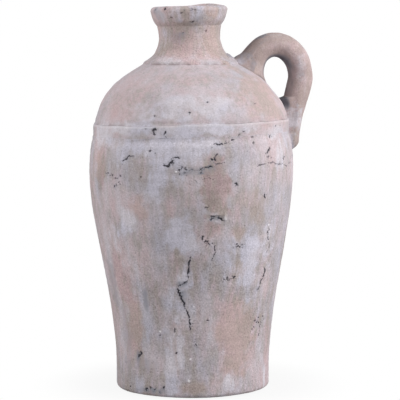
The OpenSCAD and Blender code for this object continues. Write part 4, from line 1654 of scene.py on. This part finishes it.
        # How far the roll faces up, for dust and painted light from above.
        top_dust_and_light = np.clip(normals.reshape(-1, 3)[:, 2], 0, 1)
        patchy = ease(layered(co, ROLL_PATCHES), *ROLL_PATCH_EASE)
        stroke, grime, blank = read(mesh, "wear_and_painted_light").T
        hollow, slip, dark = read(mesh, "lie").T
        wash, ochre, soot_and_shade = marks.handle_coats(co).T
        wash = np.maximum(np.maximum(wash, SLIP_WASH * slip), STROKE_WASH * ease(stroke, *PALE_STROKE))
        soot_and_shade = np.maximum(soot_and_shade, STROKE_SOOT * ease(-stroke, *DARK_STROKE))
        bare = np.maximum(ochre, BARE_HANDLE * blend(0.7, 1, patchy) - wash)
        # Soot, with the painted shade of the hollow.
        sooted_and_shaded = np.maximum(np.maximum(soot_and_shade, HANDLE_SOOT * patchy), hollow * blend(0.7, 1.1, patchy))
        write(mesh, "wear_and_painted_light", blank, grime * blend(0.7, 1, patchy), blank)
        # The first part paints black shade under the arch and in the corner by the dome.
        write(mesh, "marks", dark * blend(0.5, 1.2, patchy), blank, top_dust_and_light)
        write(mesh, "coats", wash, bare, sooted_and_shaded)
        mesh.attributes.remove(mesh.attributes["lie"])


# Clay finish

class Wire:
    """A shader socket that takes part in Python sums. Each sum adds a Math node."""

    def __init__(self, tree, socket=None):
        self.tree = tree
        self.socket = socket

    def add(self, kind, settings=None, sockets=None, out=0):
        """Adds a node, sets it up, feeds its sockets and returns one of its outputs."""
        node = self.tree.nodes.new(kind)
        for name, value in (settings or {}).items():
            setattr(node, name, value)
        for key, value in (sockets or {}).items():
            if isinstance(value, Wire):
                self.tree.links.new(value.socket, node.inputs[key])
            else:
                node.inputs[key].default_value = value
        return Wire(self.tree, node.outputs[out] if node.outputs else None)

    def math(self, operation, *values):
        return self.add("ShaderNodeMath", {"operation": operation}, dict(enumerate(values)))

    def __add__(self, other):
        return self.math("ADD", self, other)

    def __radd__(self, other):
        return self.math("ADD", other, self)

    def __sub__(self, other):
        return self.math("SUBTRACT", self, other)

    def __rsub__(self, other):
        return self.math("SUBTRACT", other, self)

    def __mul__(self, other):
        return self.math("MULTIPLY", self, other)

    def __rmul__(self, other):
        return self.math("MULTIPLY", other, self)

    def ease(self, low, high):
        """Share of the way from low to high, eased at both ends."""
        return self.add("ShaderNodeMapRange", {"interpolation_type": "SMOOTHSTEP"},
                        {"Value": self, "From Min": low, "From Max": high})

    def mix(self, mode, factor, under, over):
        """Mixes two colours."""
        sides = {0: factor, 6: under, 7: over}
        return self.add("ShaderNodeMix", {"data_type": "RGBA", "blend_type": mode}, sides, out=2)

    def tint(self, under, over):
        """Lays one colour over another where this value is high."""
        return self.mix("MIX", self, under, over)

    def shade(self, colour):
        """Makes a colour lighter or darker by this value."""
        return self.mix("MULTIPLY", 1.0, colour, self)

    def noise(self, place, wave, detail, rough=0.5):
        """Noise over places, with waves of the given length in metres."""
        return self.add("ShaderNodeTexNoise", {"normalize": True},
                        {"Vector": place, "Scale": 1 / wave, "Detail": detail, "Roughness": rough})

    def parts(self, name):
        """The three parts of a vector attribute of the mesh."""
        vector = self.add("ShaderNodeAttribute", {"attribute_name": name}, out="Vector")
        return [self.add("ShaderNodeSeparateXYZ", None, {0: vector}, out=i) for i in range(3)]


def opaque(rgb):
    return (*rgb, 1.0)


class Coating(NamedTuple):
    """Strength of the mottling and the grain of a slot's finish, and how far its blotches are drawn out"""
    mottling: float
    grain: float
    drawn_out: float


COATINGS = {"terracotta": Coating(1.0, 1.0, 3.6), "pale_terracotta": Coating(0.45, 0.66, 1.2)}
CALM = 0.22
CALM_Z = (0.12, 0.19)
LIVELY_Z = (0.33, 0.35)
ELSEWHERE = (0.7, 0.3, 0.5)
CLOUD = 52 * MM
TONE = 26 * MM
BLOTCH = 13 * MM
MOTTLE = 4.2 * MM
SPECK = 2.6 * MM
GRAIN = 1.6 * MM
FLECK = 1.5 * MM
TOOTH = 0.6 * MM
GLOSS = 0.25


def clay_material(scene, slot):
    """Weathered terracotta: mottled clay under a worn lime wash, with stains, dirt and cracks."""
    name = "weathered_" + slot
    found = bpy.data.materials.get(name)
    if found:
        return found
    finish = scene.jug_finish
    material = bpy.data.materials.new(name)
    material.use_nodes = True
    tree = material.node_tree
    tree.nodes.clear()
    art = Wire(tree)
    place = art.add("ShaderNodeTexCoord", out="Object")
    coating = COATINGS[slot]
    height = art.add("ShaderNodeSeparateXYZ", None, {0: place}, out=2)
    calm = 1 - CALM * (height.ease(*CALM_Z) - height.ease(*LIVELY_Z))
    mottling = coating.mottling * calm
    stretch = (1, 1, 1 / coating.drawn_out)
    streaked = art.add("ShaderNodeMapping", None, {"Vector": place, "Scale": stretch})
    other = art.add("ShaderNodeMapping", None, {"Vector": place, "Location": ELSEWHERE, "Scale": stretch})
    crack, stain, top_dust_and_light = art.parts("marks")
    wash, ochre, soot_and_shade = art.parts("coats")
    rub, grime, inside = art.parts("wear_and_painted_light")
    cloud = art.noise(place, CLOUD, 2, 0.55)
    blotch = art.noise(streaked, BLOTCH, 4, 0.54)
    mottle = art.noise(streaked, MOTTLE, 3)
    tone = art.noise(other, TONE, 3)
    grain, fleck, speck = (art.noise(place, wave, 1) for wave in (GRAIN, FLECK, SPECK))
    warm = (cloud * 0.5 + mottle * 0.5).ease(0.42, 0.58)
    clay = warm.tint(opaque(finish.clay_deep), opaque(finish.clay_warm))
    clay = (ochre * (0.4 + 0.8 * blotch)).ease(0.05, 0.95).tint(clay, opaque(finish.ochre))
    chalk = cloud.ease(0.4, 0.6).tint(opaque(finish.wash_cool), opaque(finish.wash_warm))
    patches = blotch + 0.9 * tone + 0.5 * mottle - 1.2
    worn = wash * (0.5 + 0.7 * (0.6 * blotch + 0.4 * mottle).ease(0.39, 0.61))
    # Upward faces take more wash: dust, and painted light from above.
    cover = (0.47 + 0.55 * worn + 0.1 * top_dust_and_light - 0.5 * ochre + mottling * patches).ease(0.15, 0.85)
    base = cover.tint(clay, chalk)
    pale_spot = speck.ease(0.65, 0.74)
    dark_spot = fleck.ease(0.6, 0.74)
    clouds = 0.1 * mottle + 0.15 * blotch + 0.5 * cloud - 0.375
    specks = (0.76 * grain + 0.2 * pale_spot - 0.26 * dark_spot - 0.38) * (1 - 0.3 * ochre)
    base = (0.98 + 0.2 * worn + mottling * clouds + coating.grain * calm * specks).shade(base)
    # Pale chips and rubbed edges, which on ledges and the gouge's lip also paint a highlight.
    base = (0.9 * rub.ease(0.3, 1.0)).tint(base, opaque(finish.chip_and_highlight))
    # Soot and painted shade.
    dirt_and_shade = (0.9 * soot_and_shade + 0.8 * stain + 0.5 * mottle + 0.5 * grain).ease(0.7, 1.45)
    base = dirt_and_shade.tint(base, opaque(finish.soot_and_shade))
    # Grime in creases, which also paints the shade there.
    crust_and_shade = (grime * (0.5 + mottle)).ease(0.1, 0.9)
    base = crust_and_shade.tint(base, opaque(finish.grime))
    base = (inside * (0.6 + 0.5 * blotch)).ease(0.2, 0.8).tint(base, opaque(finish.clay_raw))
    # Crack darkness, which on the handle also paints black shade under the arch and in the corner by the
    # dome.
    base = crack.ease(0.05, 0.95).tint(base, opaque(finish.crack))
    uneven = 0.35 * mottle + 0.3 * grain + 0.35 * blotch + 0.15 * cover - 0.25 * dark_spot
    tooth = {"Strength": 1.0, "Distance": TOOTH, "Height": uneven}
    bump = art.add("ShaderNodeBump", None, tooth, out="Normal")
    rough = finish.roughness - 0.1 * crack
    shader = art.add("ShaderNodeBsdfPrincipled", None, {"Base Color": base, "Roughness": rough,
                                                       "Normal": bump, "Specular IOR Level": GLOSS})
    art.add("ShaderNodeOutputMaterial", None, {"Surface": shader})
    return material


# Stage

class Lamp(NamedTuple):
    """Degrees to the right of the camera and above the floor, and distance and size in metres"""
    right: float
    above: float
    away: float
    size: float


LAMPS = {"key": Lamp(66, 32, 1.2, 0.9), "fill": Lamp(-70, 31, 1.2, 0.9), "top": Lamp(10, 82, 1.5, 1.2)}
CAMERA_REACH = 50
FLOOR_R = 12
FLOOR_SIDES = 96
FLOOR_GREY = (0.5, 0.5, 0.5)
FLOOR_SHADE = 0.1
SHADE_REACH = (0.08, 0.18)
WHITE = (1, 1, 1)


class JUG_OT_stage(bpy.types.Operator):
    """Sets the camera, the lamps, the white surroundings and the pale floor"""
    bl_idname = "jug.stage"
    bl_label = "Stage"

    def execute(self, context):
        scene = context.scene
        stage = scene.jug_stage
        scene.view_settings.view_transform = "Standard"
        self.camera(scene)
        for name, lamp in LAMPS.items():
            self.lamp(scene, name, lamp, getattr(stage, name))
        self.surroundings(scene, stage.sky)
        self.floor(scene)
        return {"FINISHED"}

    def camera(self, scene):
        view = PhotoView(scene)
        data = bpy.data.cameras.new("camera")
        data.lens = SENSOR * view.focal / PICTURE
        data.sensor_width = SENSOR
        data.clip_end = CAMERA_REACH
        camera = bpy.data.objects.new("camera", data)
        camera.location = view.eye
        camera.rotation_euler = Vector(view.forward).to_track_quat("-Z", "Y").to_euler()
        scene.collection.objects.link(camera)
        scene.camera = camera

    def lamp(self, scene, name, lamp, brightness):
        """Square lamp that gives a white card at the jug the brightness named."""
        data = bpy.data.lights.new(name, "AREA")
        data.size = lamp.size
        data.energy = brightness * math.pi ** 2 * lamp.away ** 2
        turn = scene.jug_stage.bearing + math.radians(lamp.right)
        lift = math.radians(lamp.above)
        way = Vector((math.sin(turn) * math.cos(lift), -math.cos(turn) * math.cos(lift), math.sin(lift)))
        holder = bpy.data.objects.new(name, data)
        holder.location = Vector((0, 0, TOP_Z / 2)) + way * lamp.away
        holder.rotation_euler = (-way).to_track_quat("-Z", "Y").to_euler()
        scene.collection.objects.link(holder)

    def seen(self, art):
        """One for rays from the camera, from gloss and through glass, and nought for light."""
        path = art.add("ShaderNodeLightPath", out="Is Camera Ray")
        glossy = Wire(art.tree, path.socket.node.outputs["Is Glossy Ray"])
        through = Wire(art.tree, path.socket.node.outputs["Is Transmission Ray"])
        return path.math("MAXIMUM", path.math("MAXIMUM", path, glossy), through)

    def surroundings(self, scene, sky):
        world = bpy.data.worlds.new("surroundings")
        world.use_nodes = True
        world.node_tree.nodes.clear()
        art = Wire(world.node_tree)
        strength = sky + (1 - sky) * self.seen(art)
        glow = art.add("ShaderNodeBackground", None, {"Color": opaque(WHITE), "Strength": strength})
        art.add("ShaderNodeOutputWorld", None, {"Surface": glow})
        scene.world = world

    def floor(self, scene):
        bm = bmesh.new()
        bmesh.ops.create_circle(bm, cap_ends=True, segments=FLOOR_SIDES, radius=FLOOR_R)
        mesh = bpy.data.meshes.new("floor")
        bm.to_mesh(mesh)
        bm.free()
        material = bpy.data.materials.new("floor")
        material.use_nodes = True
        material.node_tree.nodes.clear()
        art = Wire(material.node_tree)
        place = art.add("ShaderNodeTexCoord", out="Object")
        away = art.add("ShaderNodeVectorMath", {"operation": "LENGTH"}, {0: place}, out="Value")
        near = FLOOR_SHADE * (1 - away.ease(*SHADE_REACH))
        matt = art.add("ShaderNodeBsdfDiffuse", None, {"Color": opaque(FLOOR_GREY)})
        white = art.add("ShaderNodeEmission", None, {"Color": opaque(WHITE), "Strength": 1.0})
        lit = self.seen(art) * (1 - near)
        mixed = art.add("ShaderNodeMixShader", None, {0: lit, 1: matt, 2: white})
        art.add("ShaderNodeOutputMaterial", None, {"Surface": mixed})
        mesh.materials.append(material)
        floor = bpy.data.objects.new("floor", mesh)
        scene.collection.objects.link(floor)


class JUG_PT_builder(bpy.types.Panel):
    """Lists the pieces of the jug and the settings that shape them"""
    bl_label = "Terracotta jug"
    bl_idname = "JUG_PT_builder"
    bl_space_type = "VIEW_3D"
    bl_region_type = "UI"
    bl_category = "Jug"

    def draw(self, context):
        column = self.layout.column(align=True)
        for operator in OPERATORS:
            column.operator(operator.bl_idname)
        for name, group in GROUPS.items():
            for setting in group.__annotations__:
                column.prop(getattr(context.scene, name), setting)


GROUPS = {"jug_shape": JugShape, "jug_handle": JugHandle, "jug_surface": JugSurface,
          "jug_finish": JugFinish, "jug_stage": JugStage}
OPERATORS = (JUG_OT_floor_slab, JUG_OT_lower_section, JUG_OT_belly_section, JUG_OT_band_ring,
             JUG_OT_shoulder_cap, JUG_OT_neck_collar, JUG_OT_rim_lip, JUG_OT_pulled_handle, JUG_OT_stage)
CLASSES = (*GROUPS.values(), *OPERATORS, JUG_PT_builder)


def register():
    for cls in CLASSES:
        bpy.utils.register_class(cls)
    for name, cls in GROUPS.items():
        setattr(bpy.types.Scene, name, PointerProperty(type=cls))


def unregister():
    for name in GROUPS:
        delattr(bpy.types.Scene, name)
    for cls in reversed(CLASSES):
        bpy.utils.unregister_class(cls)


def main():
    register()
    bpy.ops.jug.floor_slab()
    bpy.ops.jug.lower_section()
    bpy.ops.jug.belly_section()
    bpy.ops.jug.band_ring()
    bpy.ops.jug.shoulder_cap()
    bpy.ops.jug.neck_collar()
    bpy.ops.jug.rim_lip()
    bpy.ops.jug.pulled_handle()
    bpy.ops.jug.stage()


if __name__ == "__main__":
    main()
